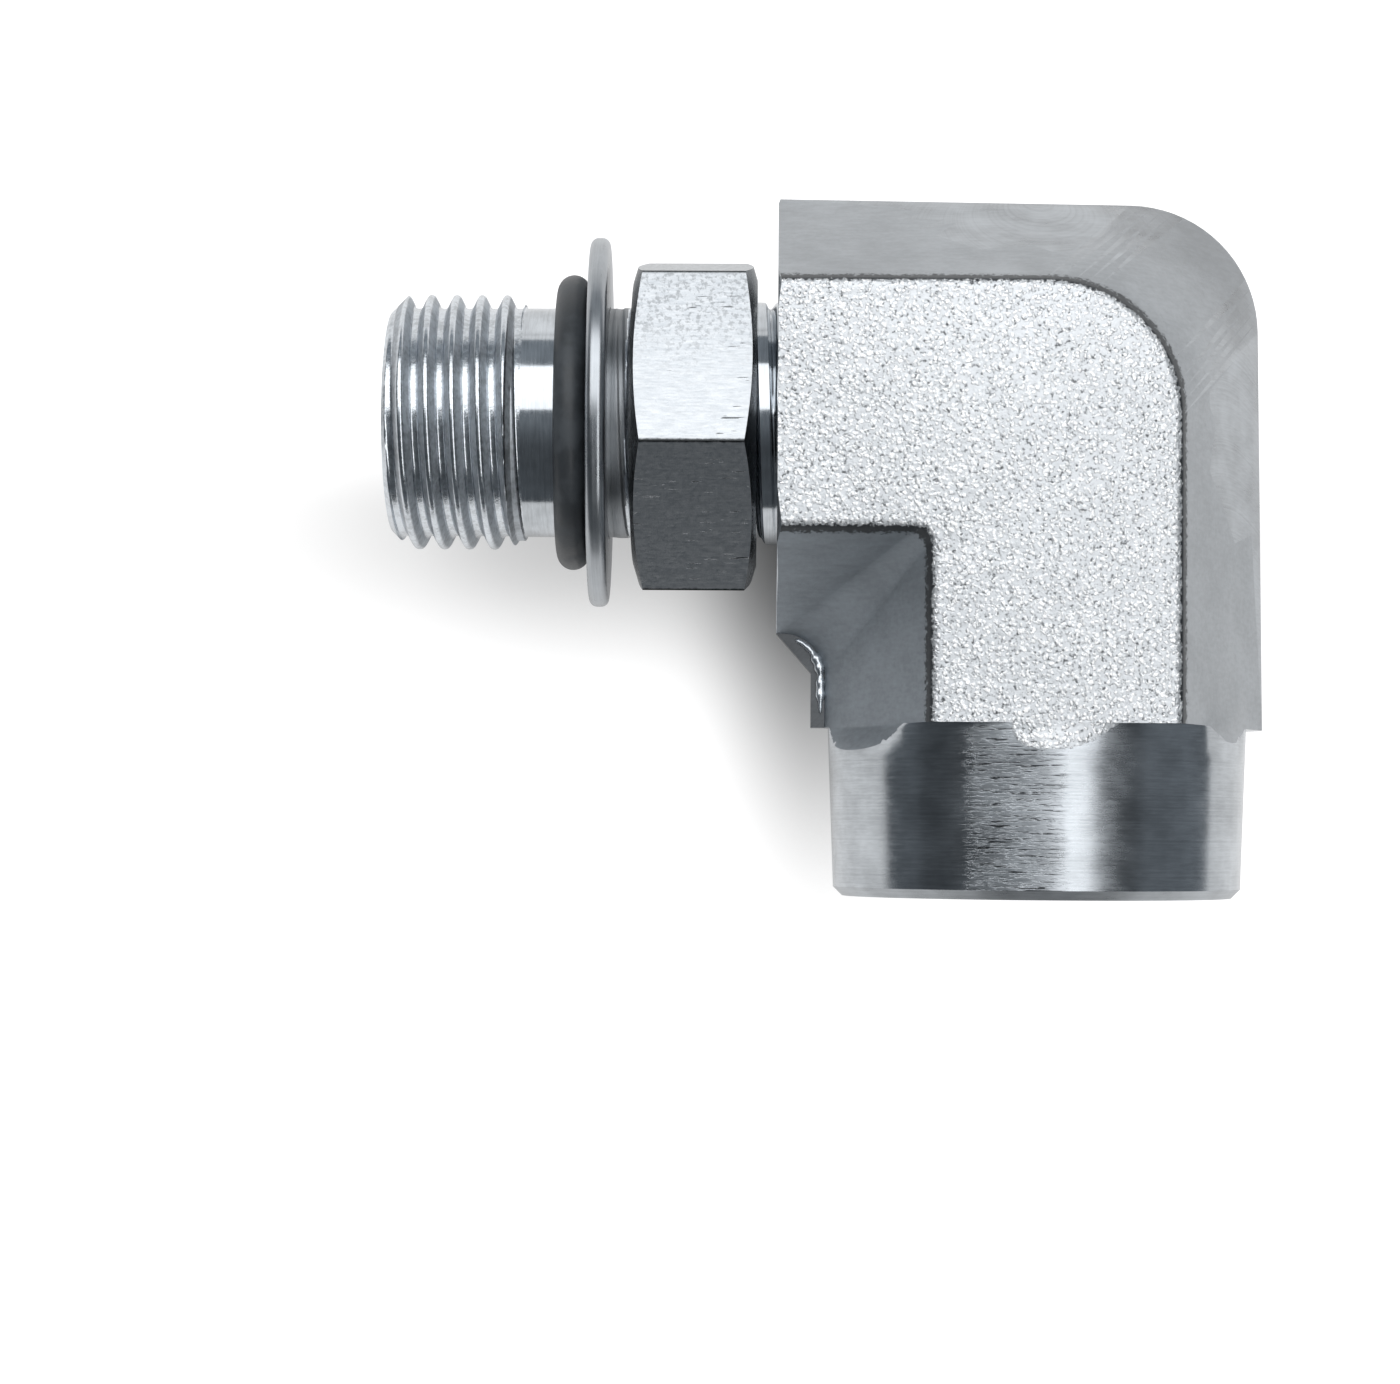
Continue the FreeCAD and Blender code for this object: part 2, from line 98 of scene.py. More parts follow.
class Signal:
    """One output of a node tree, with ordinary arithmetic."""

    def __init__(self, desk: "NodeDesk", socket: bpy.types.NodeSocket) -> None:
        """Keep the socket and the desk that adds nodes beside it."""
        self.desk = desk
        self.socket = socket

    def __add__(self, other: Operand) -> "Signal":
        """self + other."""
        return self.desk.math("ADD", self, other)

    __radd__ = __add__

    def __sub__(self, other: Operand) -> "Signal":
        """self - other."""
        return self.desk.math("SUBTRACT", self, other)

    def __rsub__(self, other: Operand) -> "Signal":
        """other - self."""
        return self.desk.math("SUBTRACT", other, self)

    def __mul__(self, other: Operand) -> "Signal":
        """self * other."""
        return self.desk.math("MULTIPLY", self, other)

    __rmul__ = __mul__

    def __truediv__(self, other: Operand) -> "Signal":
        """self / other."""
        return self.desk.math("DIVIDE", self, other)

    def __rtruediv__(self, other: Operand) -> "Signal":
        """other / self."""
        return self.desk.math("DIVIDE", other, self)

    def __pow__(self, other: Operand) -> "Signal":
        """self to the power of other."""
        return self.desk.math("POWER", self, other)

    def __abs__(self) -> "Signal":
        """Size without sign."""
        return self.desk.math("ABSOLUTE", self)

    def at_most(self, other: Operand) -> "Signal":
        """The smaller of the two."""
        return self.desk.math("MINIMUM", self, other)

    def at_least(self, other: Operand) -> "Signal":
        """The larger of the two."""
        return self.desk.math("MAXIMUM", self, other)

    def rise(self, low: Operand, high: Operand) -> "Signal":
        """Smooth step from 0 where it is low to 1 where it is high.

        Args:
            low: Value up to which the step is 0.
            high: Value from which the step is 1.

        Returns:
            The step.
        """
        share = ((self - low) / (high - low)).at_least(0.0).at_most(1.0)
        return share * share * (3.0 - 2.0 * share)


class NodeDesk:
    """Adds nodes to one tree and reads their outputs as signals."""

    def __init__(self, tree: bpy.types.NodeTree) -> None:
        """Work on this tree."""
        self.tree = tree

    def add(
        self,
        kind: str,
        settings: Mapping[str, Any] | None = None,
        inputs: Mapping[str | int, Any] | None = None,
    ) -> bpy.types.Node:
        """Add a node, set its settings first, and then its sockets.

        Args:
            kind: Type name of the node.
            settings: Properties of the node.
            inputs: Values or signals by the socket's name or number.

        Returns:
            The node.
        """
        node = self.tree.nodes.new(kind)
        for name, value in (settings or {}).items():
            setattr(node, name, value)
        for name, value in (inputs or {}).items():
            self.feed(node.inputs[name], value)
        return node

    def feed(self, socket: bpy.types.NodeSocket, value: Any) -> None:
        """Give a socket what it reads.

        Args:
            socket: An input of a node.
            value: A signal to link to it, or the value to set on it.
        """
        if isinstance(value, Signal):
            self.tree.links.new(value.socket, socket)
        else:
            socket.default_value = value

    def read(self, node: bpy.types.Node, output: str | int = 0) -> Signal:
        """One output of a node, by name or number."""
        return Signal(self, node.outputs[output])

    def math(self, operation: str, *operands: Operand) -> Signal:
        """Add a Math node for an operation on one or two numbers."""
        node = self.add("ShaderNodeMath", {"operation": operation}, dict(enumerate(operands)))
        return self.read(node)

    def vector(self, operation: str, first: Any, second: Any) -> Signal:
        """Add a Vector Math node for an operation on two vectors."""
        node = self.add("ShaderNodeVectorMath", {"operation": operation}, {0: first, 1: second})
        return self.read(node)

    def split(self, vector: Signal) -> tuple[Signal, Signal, Signal]:
        """The three parts of a vector."""
        node = self.add("ShaderNodeSeparateXYZ", inputs={0: vector})
        return self.read(node, 0), self.read(node, 1), self.read(node, 2)

    def along_and_radius(self, place: Signal, axis: int, centre: float) -> tuple[Signal, Signal]:
        """Place along an axis, and distance from it.

        Args:
            place: Coordinates.
            axis: 0 for an axis along X, and 1 for one along Y.
            centre: Where it crosses the other axis of the XY plane.

        Returns:
            Both, in the unit of the coordinates.
        """
        parts = list(self.split(place))
        along = parts.pop(axis)
        across = parts[0] - centre
        return along, (across * across + parts[1] * parts[1]) ** 0.5

    def join(self, x: Operand, y: Operand, z: Operand) -> Signal:
        """A vector from its three parts."""
        return self.read(self.add("ShaderNodeCombineXYZ", inputs={0: x, 1: y, 2: z}))

    def millimetres(self) -> Signal:
        """The piece's own coordinates in millimetres."""
        place = self.read(self.add("ShaderNodeTexCoord"), "Object")
        return self.vector("MULTIPLY", place, (1 / MM, 1 / MM, 1 / MM))

    def noise(self, place: Signal, scale: float, detail: float = 2.0, roughness: float = 0.5) -> Signal:
        """Cloudy noise between 0 and 1.

        Args:
            place: Where it is read.
            scale: Clouds per millimetre.
            detail: How many finer layers it has.
            roughness: How strong each finer layer is against the one before.

        Returns:
            The noise.
        """
        inputs = {"Vector": place, "Scale": scale, "Detail": detail, "Roughness": roughness}
        return self.read(self.add("ShaderNodeTexNoise", inputs=inputs))

    def stretched(self, place: Signal, scale: tuple[float, float, float]) -> Signal:
        """Noise with its own count of clouds per millimetre along each axis."""
        return self.noise(self.vector("MULTIPLY", place, scale), 1.0, detail=3.0, roughness=0.6)

    def cells(self, place: Signal, scale: float) -> Signal:
        """Distance, in cells, to the nearest of so many scattered points per millimetre."""
        inputs = {"Vector": place, "Scale": scale}
        return self.read(self.add("ShaderNodeTexVoronoi", {"feature": "F1"}, inputs), "Distance")

    def blend(self, share: Operand, first: Any, second: Any) -> Signal:
        """Mix two colours: the first where share is 0 and the second where it is 1."""
        settings = {"data_type": "RGBA", "clamp_factor": True}
        return self.read(self.add("ShaderNodeMix", settings, {0: share, 6: first, 7: second}), 2)

    def bump(self, height: Signal, depth: float = 1.0) -> Signal:
        """A normal that follows a height map, which is so many millimetres high where it is 1."""
        inputs = {"Height": height, "Distance": depth * MM, "Strength": 1.0}
        return self.read(self.add("ShaderNodeBump", inputs=inputs))


# Finishes


class RecordSlot(Enum):
    """Names of the record's material slots for the forging and the nut, which nothing here uses."""

    FORGING = "plated_forging"
    NUT = "plated_nut"


@dataclass(frozen=True)
class Finish:
    """A finish with its name. Each kind says how its surface is painted."""

    name: str

    def material(self) -> bpy.types.Material:
        """Make the material, with the surface that paint returns.

        Returns:
            The material.
        """
        made = bpy.data.materials.new(self.name)
        made.use_nodes = True
        made.node_tree.nodes.clear()
        desk = NodeDesk(made.node_tree)
        desk.add("ShaderNodeOutputMaterial", inputs={"Surface": self.paint(desk)})
        return made

    def paint(self, desk: NodeDesk) -> Signal:
        """Add the finish's nodes.

        Args:
            desk: Where they go.

        Returns:
            The finish's shader.
        """
        raise NotImplementedError

    @staticmethod
    def toned(
        desk: NodeDesk, tone: Signal, level: float, low: float, high: float, cool: float = 0.05
    ) -> Signal:
        """A grey that goes with a tone from level times low to level times high."""
        return desk.blend(tone, grey(level * low, cool), grey(level * high, cool))

    @staticmethod
    def plated(desk: NodeDesk, colour: Any, roughness: Any, normal: Signal) -> Signal:
        """A zinc plated metal surface.

        Args:
            desk: Where its nodes go.
            colour: Colour of the reflection.
            roughness: How blurred it is.
            normal: Normal with the surface's texture.

        Returns:
            The shader.
        """
        inputs = {
            "Base Color": colour,
            "Metallic": 1.0,
            "Roughness": roughness,
            "Normal": normal,
        }
        return desk.read(desk.add("ShaderNodeBsdfPrincipled", inputs=inputs))


@dataclass(frozen=True)
class PeenedSkin:
    """The shot-blasted skin of a forging under its plating: bright, with dense fine pits.

    Each scale is a count per millimetre.
    """

    bright: float = 0.92
    dark: float = 0.12
    roughness: float = 0.46
    depth: float = 0.05
    grit_scale: float = 4.6
    dent_scale: float = 2.6
    dent_shift: tuple[float, float, float] = (31.0, 7.0, 3.0)
    grain_scale: float = 4.2
    grain_drift: float = 0.4
    cloud_scale: float = 0.5

    def layers(self, desk: NodeDesk, place: Signal) -> tuple[Signal, Signal, Signal]:
        """Colour, roughness, and height in millimetres of the peened skin.

        Args:
            desk: Where its nodes go.
            place: Coordinates in millimetres.

        Returns:
            The three layers.
        """
        grit = desk.noise(place, self.grit_scale, detail=3.0, roughness=0.66)
        shifted = desk.vector("ADD", place, self.dent_shift)
        dents = desk.noise(shifted, self.dent_scale, roughness=0.55)
        drift = desk.join(dents * self.grain_drift, grit * self.grain_drift, 0.0)
        grains = 1.0 - desk.cells(desk.vector("ADD", place, drift), self.grain_scale).rise(0.12, 0.62)
        dark = grit.rise(0.54, 0.68) * (1.0 - grains * 0.6)
        cloud = desk.noise(place, self.cloud_scale, detail=3.0)
        light = (grains * 0.5 + dents * 0.35 + cloud * 0.15).rise(0.26, 0.6)
        colour = desk.blend(light, grey(self.bright * 0.7, 0.03), grey(self.bright * 1.16, 0.01))
        colour = desk.blend(dark, colour, grey(self.dark))
        rough = self.roughness + (grit - 0.5) * 0.2
        height = (grains * 0.5 + dents * 0.5 - grit * 0.3) * self.depth
        return colour, rough, height


@dataclass(frozen=True)
class ForgedPlating(Finish):
    """Plated forging: a peened flat inside a ragged dark border, and smoother drafted sides.

    Between the legs the drafted sides are painted darker and cooler, as painted shade, and are rougher.
    """

    skin: PeenedSkin = PeenedSkin()
    flat_start: float = 11.2
    flat_full: float = 11.28
    border_start: float = 10.57
    border_full: float = 10.85
    raggedness: float = 0.6
    side_colour: float = 0.42
    edge_colour: float = 0.07
    side_roughness: float = 0.36
    shaded_corner_x: float = -6.3
    shaded_corner_y: float = 18.3
    inside_roughness: float = 0.28
    streak_scale: tuple[float, float, float] = (0.78, 4.42, 1.56)
    grain_depth: float = 0.016
    patch_depth: float = 0.03

    def paint(self, desk: NodeDesk) -> Signal:
        """Peened flat inside a ragged border, and drafted sides beyond it.

        Args:
            desk: Where the nodes go.

        Returns:
            The shader.
        """
        place = desk.millimetres()
        x, y, z = desk.split(place)
        ragged = (desk.noise(place, 3.4, detail=4.0, roughness=0.75) - 0.5) * self.raggedness
        height = abs(z) + ragged
        on_flat = height.rise(self.flat_start, self.flat_full)
        border = (height + ragged * 1.5).rise(self.border_start, self.border_full)
        at_edge = border * (1.0 - on_flat)
        flat, flat_rough, flat_height = self.skin.layers(desk, place)

        grain = desk.noise(place, 3.4, detail=4.0, roughness=0.6)
        streaks = desk.stretched(place, self.streak_scale)
        patches = desk.noise(place, 0.3, detail=3.0)
        tone = (streaks * 0.3 + patches * 0.35 + grain * 0.35).rise(0.32, 0.68)
        side = self.toned(desk, tone, self.side_colour, 0.84, 1.12)
        # Painted shade: in the inner corner between the two legs the drafted sides are coloured darker and
        # cooler, and are made rougher.
        inside = (self.shaded_corner_x - x).rise(-0.3, 0.5) * (self.shaded_corner_y - y).rise(-0.3, 0.5)
        side = desk.blend(inside, side, self.toned(desk, tone, self.side_colour, 0.8, 1.08, cool=0.08))
        side = desk.blend(at_edge * 0.9, side, grey(self.edge_colour))

        rough = self.side_roughness + (grain - 0.5) * 0.16 + inside * self.inside_roughness
        rough = rough + on_flat * (flat_rough - rough)
        side_height = grain * self.grain_depth + patches * self.patch_depth
        relief = side_height + on_flat * (flat_height - side_height)
        return self.plated(desk, desk.blend(on_flat, side, flat), rough, desk.bump(relief))


@dataclass(frozen=True)
class TurnedPlating(Finish):
    """Plated lathe work, with feed marks round an axis through a point of the XY plane."""

    axis: int = 1
    centre: float = 0.0
    colour: float = 0.5
    roughness: float = 0.24
    feed: float = 7.0
    depth: float = 0.004
    blotches: float = 0.25

    def paint(self, desk: NodeDesk) -> Signal:
        """Feed marks that change along the axis, under a blotchy bright plating."""
        colour, rough, height = self.layers(desk, desk.millimetres())
        return self.plated(desk, colour, rough, desk.bump(height))

    def layers(self, desk: NodeDesk, place: Signal) -> tuple[Signal, Signal, Signal]:
        """Colour, roughness, and height in millimetres of the turned surface.

        Args:
            desk: Where its nodes go.
            place: Coordinates in millimetres.

        Returns:
            The three layers.
        """
        along, radius = desk.along_and_radius(place, self.axis, self.centre)
        run = (along + radius) * self.feed
        lines = desk.noise(desk.join(run, 0.0, 0.0), 1.0, detail=3.0, roughness=0.75)
        broken = desk.stretched(place, self.stretch(0.9, 8.0))
        patches = desk.noise(place, 0.45, detail=3.0)
        marks = lines * 0.6 + broken * 0.4
        tone = (marks * 0.55 + patches * 0.45).rise(0.32, 0.68)
        colour = self.toned(desk, tone, self.colour, 1 - self.blotches, 1 + self.blotches)
        rough = self.roughness + (patches - 0.5) * 0.14 + (broken - 0.5) * 0.1
        return colour, rough, marks * self.depth

    def stretch(self, across: float, along: float) -> tuple[float, float, float]:
        """Scale of a pattern by its counts for each millimetre across and along the axis."""
        return (along, across, across) if self.axis == 0 else (across, along, across)


@dataclass(frozen=True)
class BarrelPlating(TurnedPlating):
    """The turned barrel: torn dashes of the tool, and the forged skin where the flat runs into it."""

    skin: PeenedSkin = PeenedSkin()
    shoulder: float = 7.9
    dip_middle: float = -0.1
    dip_half_width: float = 2.05
    dip_depth: float = 1.4
    dip_flare: float = 0.45
    dip_height: float = 9.0
    barrel_radius: float = 11.4
    torn_middle: float = -2.0
    torn_half_width: float = 2.6
    torn_depth: float = 0.01
    middle_roughness: float = 0.09
    middle_reach: tuple[float, float] = (3.2, 6.5)
    roughness: float = 0.18

    def layers(self, desk: NodeDesk, place: Signal) -> tuple[Signal, Signal, Signal]:
        """Colour, roughness, and height in millimetres of the barrel.

        Args:
            desk: Where its nodes go.
            place: Coordinates in millimetres.

        Returns:
            The three layers.
        """
        colour, rough, height = super().layers(desk, place)
        x, y, z = desk.split(place)
        turned = desk.math("ARCTAN2", x, abs(z)) * self.barrel_radius
        dashes = self.unrolled(desk, turned * 0.45, y * 7.5, detail=2.0, roughness=0.6)
        fine = self.unrolled(desk, turned * 2.2, y * 12.0, detail=3.0, roughness=0.65)
        off = abs(turned - self.torn_middle) / self.torn_half_width
        frayed = (self.unrolled(desk, turned * 0.4, y * 3.2, detail=3.0, roughness=0.7) - 0.5) * 0.7
        marked = 1.0 - (off + frayed).rise(0.7, 1.15)
        torn = (dashes * 0.5 + fine * 0.5).rise(0.49, 0.56) * (marked * 0.94 + 0.06)
        cuts = dashes.rise(0.575, 0.605) * fine.rise(0.4, 0.5) * marked
        colour = desk.blend(cuts * 0.9, colour, grey(self.colour * 0.08))
        middle = 1.0 - abs(turned).rise(*self.middle_reach)
        rough = rough + marked * 0.05 + middle * self.middle_roughness
        height = height - torn * self.torn_depth

        down = (self.shoulder - y) / self.dip_depth
        flare = (x - self.dip_middle).at_least(0.0) * (1.0 - down) * self.dip_flare
        across = (x - self.dip_middle - flare) / self.dip_half_width
        ragged = (desk.noise(place, 2.6, detail=3.0, roughness=0.7) - 0.5) * 0.7
        inside = abs(across) ** 3.0 + down * down * down + ragged
        forged = (1.0 - inside.rise(0.85, 1.05)) * abs(z).rise(self.dip_height, self.dip_height + 1.0)
        skin, skin_rough, skin_height = self.skin.layers(desk, place)
        rough = rough + forged * (skin_rough - rough)
        height = height + forged * (skin_height - height)
        return desk.blend(forged, colour, skin), rough, height

    @staticmethod
    def unrolled(desk: NodeDesk, turned: Signal, y: Signal, detail: float, roughness: float) -> Signal:
        """Noise on the barrel's unrolled surface, at places that are counted in clouds."""
        return desk.noise(desk.join(turned, y, 0.0), 1.0, detail, roughness)


@dataclass(frozen=True)
class BrushedPlating(Finish):
    """Drawn hexagon stock, plated bright, with fine speckle, short scratches and nearly black corners."""

    clock: float = 12.4
    corner_radius: float = 10.08
    corner_width: float = 0.04
    corner_reach: float = 0.16
    corner_colour: float = 0.05
    speckle_side: float = 7.0
    colour: float = 0.52
    roughness: float = 0.32

    def paint(self, desk: NodeDesk) -> Signal:
        """Fine speckle, denser towards one side, over short marks along the nut.

        Args:
            desk: Where the nodes go.

        Returns:
            The shader.
        """
        place = desk.millimetres()
        _, y, z = desk.split(place)
        grain = desk.stretched(place, (1.1, 7.0, 7.0))
        speckle = desk.noise(place, 3.9, detail=3.0, roughness=0.65)
        side = (y - STUD_Y).rise(0.0, self.speckle_side)
        dull = (desk.noise(place, 0.45) * 0.4 + side * 0.6).rise(0.2, 0.75)
        scratch = desk.noise(desk.vector("MULTIPLY", place, (0.7, 8.0, 8.0)), 1.0, detail=1.0)
        cuts = scratch.rise(0.68, 0.71) * desk.noise(place, 0.5, detail=1.0).rise(0.54, 0.6)
        flecks = speckle.rise(0.48, 0.62) * (0.12 + dull * 0.88)
        tone = (grain * 0.6 + speckle * 0.4).rise(0.32, 0.66)
        colour = desk.blend(tone, grey(self.colour * 0.9), grey(self.colour * 1.14, 0.03))
        colour = desk.blend(flecks * 0.6, colour, grey(self.colour * 0.42))
        colour = desk.blend(cuts * 0.85, colour, grey(self.colour * 0.12))
        sixth = desk.math("ARCTAN2", z, y - STUD_Y) * (3.0 / math.pi) - self.clock / 60.0
        off_corner = abs(desk.math("FRACT", sixth + 6.0) - 0.5) * (math.tau / 6 * self.corner_radius)
        off_corner = off_corner + (speckle - 0.5) * 0.12
        # The hexagon's corners are coloured nearly black along a thin line.
        marked = 1.0 - off_corner.rise(self.corner_width, self.corner_reach)
        colour = desk.blend(marked, colour, grey(self.corner_colour))
        rough = self.roughness + (speckle - 0.5) * 0.2
        relief = grain * 0.004 + speckle * 0.007 - cuts * 0.008
        return self.plated(desk, colour, rough, desk.bump(relief))


@dataclass(frozen=True)
class ThreadPlating(Finish):
    """Plating on cut threads: bright in the roots and on the crests, and on the flanks rougher, as torn,
    and painted darker, as painted shade.
    """

    root: float = 6.42
    crest: float = 7.125
    colour: float = 0.68
    roughness: float = 0.2
    flank_roughness: float = 0.36
    fleck_depth: float = 0.012

    def paint(self, desk: NodeDesk) -> Signal:
        """Torn flecks and slow changes of tone, with the flanks between root and crest painted darker, as
        painted shade, and rougher.

        Args:
            desk: Where the nodes go.

        Returns:
            The shader.
        """
        place = desk.millimetres()
        _, radius = desk.along_and_radius(place, 0, STUD_Y)
        share = (radius - self.root) / (self.crest - self.root)
        flank = share.rise(0.02, 0.2) * (1.0 - share.rise(0.72, 0.94))
        fleck = desk.noise(place, 3.4, detail=4.0, roughness=0.65)
        tone = (fleck * 0.6 + desk.noise(place, 0.6) * 0.4).rise(0.34, 0.6)
        bright = self.toned(desk, tone, self.colour, 0.7, 1.08)
        # Painted shade: the flanks are coloured darker than the roots and crests.
        colour = desk.blend(flank, bright, self.toned(desk, tone, self.colour, 0.6, 0.95))
        rough = self.roughness + (fleck - 0.5) * 0.2 + flank * self.flank_roughness
        return self.plated(desk, colour, rough, desk.bump(fleck, self.fleck_depth))


@dataclass(frozen=True)
class Rubber(Finish):
    """Moulded nitrile rubber, satin, with a little bloom."""

    colour: float = 0.045
    bloom: float = 0.09
    roughness: float = 0.42
    grain_depth: float = 0.006

    def paint(self, desk: NodeDesk) -> Signal:
        """Fine moulded grain, with paler bloom in patches.

        Args:
            desk: Where the nodes go.

        Returns:
            The shader.
        """
        place = desk.millimetres()
        grain = desk.noise(place, 7.0, detail=3.0)
        patches = desk.noise(place, 0.7, detail=3.0).rise(0.42, 0.68)
        inputs = {
            "Base Color": desk.blend(patches * 0.6, grey(self.colour, 0.14), grey(self.bloom, 0.14)),
            "Roughness": self.roughness + patches * 0.12 + (grain - 0.5) * 0.1,
            "Normal": desk.bump(grain, self.grain_depth),
        }
        return desk.read(desk.add("ShaderNodeBsdfPrincipled", inputs=inputs))


@dataclass(frozen=True)
class Shade:
    """A soft spot on the paper where its own light is weaker, in millimetres."""

    middle: tuple[float, float]
    reach: tuple[float, float]
    strength: float
    falloff: float

    def over(self, desk: NodeDesk, x: Signal, y: Signal) -> Signal:
        """Share of the paper's own light that is missing at a place.

        Args:
            desk: Where the nodes go.
            x: Place along X.
            y: Place along Y.

        Returns:
            The share.
        """
        across = (x - self.middle[0]) / self.reach[0]
        down = (y - self.middle[1]) / self.reach[1]
        away = (across * across + down * down) ** (self.falloff / 2)
        return desk.math("EXPONENT", -1.0 * away) * self.strength


@dataclass(frozen=True)
class Paper(Finish):
    """White paper under the adapter. Besides the lamps' own shadow, painted shadows lower its own light,
    mostly in the corner between the two legs.
    """

    colour: float = 0.45
    lift: float = 0.95
    metal_lift: float = 0.62
    shades: tuple[Shade, ...] = (
        Shade((-11.8, 34.0), (7.8, 31.5), 1.0, 4.0),
        Shade((-17.0, 20.0), (30.5, 7.2), 0.56, 2.3),
    )
    shade_end: tuple[float, float] = (21.0, 28.0)

    def paint(self, desk: NodeDesk) -> Signal:
        """A matt white with some light of its own for camera, glossy and clear rays.

        Args:
            desk: Where the nodes go.

        Returns:
            The shader.
        """
        rays = desk.add("ShaderNodeLightPath")
        mirrored = desk.read(rays, "Is Glossy Ray") + desk.read(rays, "Is Transmission Ray")
        x, y, _ = desk.split(desk.millimetres())
        own = desk.read(rays, "Is Camera Ray") * self.lift + mirrored.at_most(1.0) * self.metal_lift
        # Painted shadows: the paper's own light is lowered in soft spots beside the adapter, for the
        # camera and in the metal's reflections.
        front = 1.0 - y.rise(*self.shade_end)
        for shade in self.shades:
            own = own * (1.0 - shade.over(desk, x, y) * front)
        matt = {"Color": (self.colour, self.colour, self.colour, 1.0)}
        lit = desk.read(desk.add("ShaderNodeBsdfDiffuse", inputs=matt))
        glow = {"Color": (1.0, 1.0, 1.0, 1.0), "Strength": own}
        glow = desk.read(desk.add("ShaderNodeEmission", inputs=glow))
        return desk.read(desk.add("ShaderNodeAddShader", inputs={0: lit, 1: glow}))


@dataclass(frozen=True)
class DarkCard(Finish):
    """Plain dark card, which bright metal mirrors, a little lighter behind the adapter and over it."""

    level: float = 0.085
    lighter: float = 0.19
    rise_y: tuple[float, float] = (-260.0, 220.0)
    fall_x: tuple[float, float] = (120.0, 320.0)

    def paint(self, desk: NodeDesk) -> Signal:
        """A dark grey that grows lighter towards the back.

        Args:
            desk: Where the nodes go.

        Returns:
            The shader.
        """
        x, y, _ = desk.split(desk.millimetres())
        level = self.level + y.rise(*self.rise_y) * (1.0 - abs(x).rise(*self.fall_x)) * self.lighter
        inputs = {"Color": grey(1.0, 0.1), "Strength": level}
        return desk.read(desk.add("ShaderNodeEmission", inputs=inputs))


# Threads


@dataclass(frozen=True)
class ThreadForm:
    """One cut thread with its two ends, along an axis, in millimetres.

    Attributes:
        start: Where the threaded surface begins along the axis.
        end: Where it ends.
        crest_radius: Radius on the crests.
        root_radius: Radius in the roots, larger than the crests' in a hole.
        crest_place: Where a crest lies on the side that the angle is counted from.
        start_radius: Radius of the plain circle at the start.
        end_radius: Radius of the plain circle at the end.
        entry_radius: Radius at which the blank begins.
        exit_radius: Radius at which the blank ends.
        entry_hold: Length over which the blank keeps the radius at which it begins.
        exit_hold: Length over which it keeps the radius at which it ends.
        entry_slope: Steepness of the blank after its start.
        exit_slope: Steepness of the blank before its end.
        fade_in: Length over which the start settles on its circle.
        fade_out: Length over which the end settles on its circle.
        taper: Radius lost for each millimetre along the axis.
        crest_flat: Share of the pitch that a crest's flat takes.
        crest_crown: Height by which that flat is crowned.
        crest_round: Rounding beside the flat, as a share of the pitch.
        root_flat: Share of the pitch that a root's flat takes.
        root_round: How softly a flank runs into the root, as a share of the depth.
        place: Point that the axis passes through at 0.
        turn: Angles that turn the X axis onto the thread's axis.
        segments: Faces round one turn.
        steps: Faces across one pitch.
    """

    start: float
    end: float
    crest_radius: float
    root_radius: float
    crest_place: float
    start_radius: float
    end_radius: float
    entry_radius: float
    exit_radius: float
    entry_hold: float = 0.0
    exit_hold: float = 0.0
    entry_slope: float = 1.0
    exit_slope: float = 1.0
    fade_in: float = 0.001
    fade_out: float = 0.001
    taper: float = 0.0
    crest_flat: float = 0.125
    crest_crown: float = 0.014
    crest_round: float = 0.07
    root_flat: float = 0.28
    root_round: float = 0.14
    place: tuple[float, float, float] = (0.0, STUD_Y, 0.0)
    turn: tuple[float, float, float] = (0.0, 0.0, 0.0)
    segments: int = 96
    steps: int = 20
    SPARE_TURNS = 3

    def inputs(self) -> dict[str, Any]:
        """The sizes by the names of the tree's inputs.

        Returns:
            Every field, the pitch, the turns that cover the surface, and the side on which the metal's
            outside lies: 1 for a stud, and -1 for a hole.
        """
        sizes = {field.name: getattr(self, field.name) for field in fields(self)}
        sizes["pitch"] = PITCH
        sizes["turns"] = math.ceil((self.end - self.start) / PITCH) + self.SPARE_TURNS
        sizes["side"] = math.copysign(1.0, self.crest_radius - self.root_radius)
        return {name.replace("_", " ").title(): size for name, size in sizes.items()}


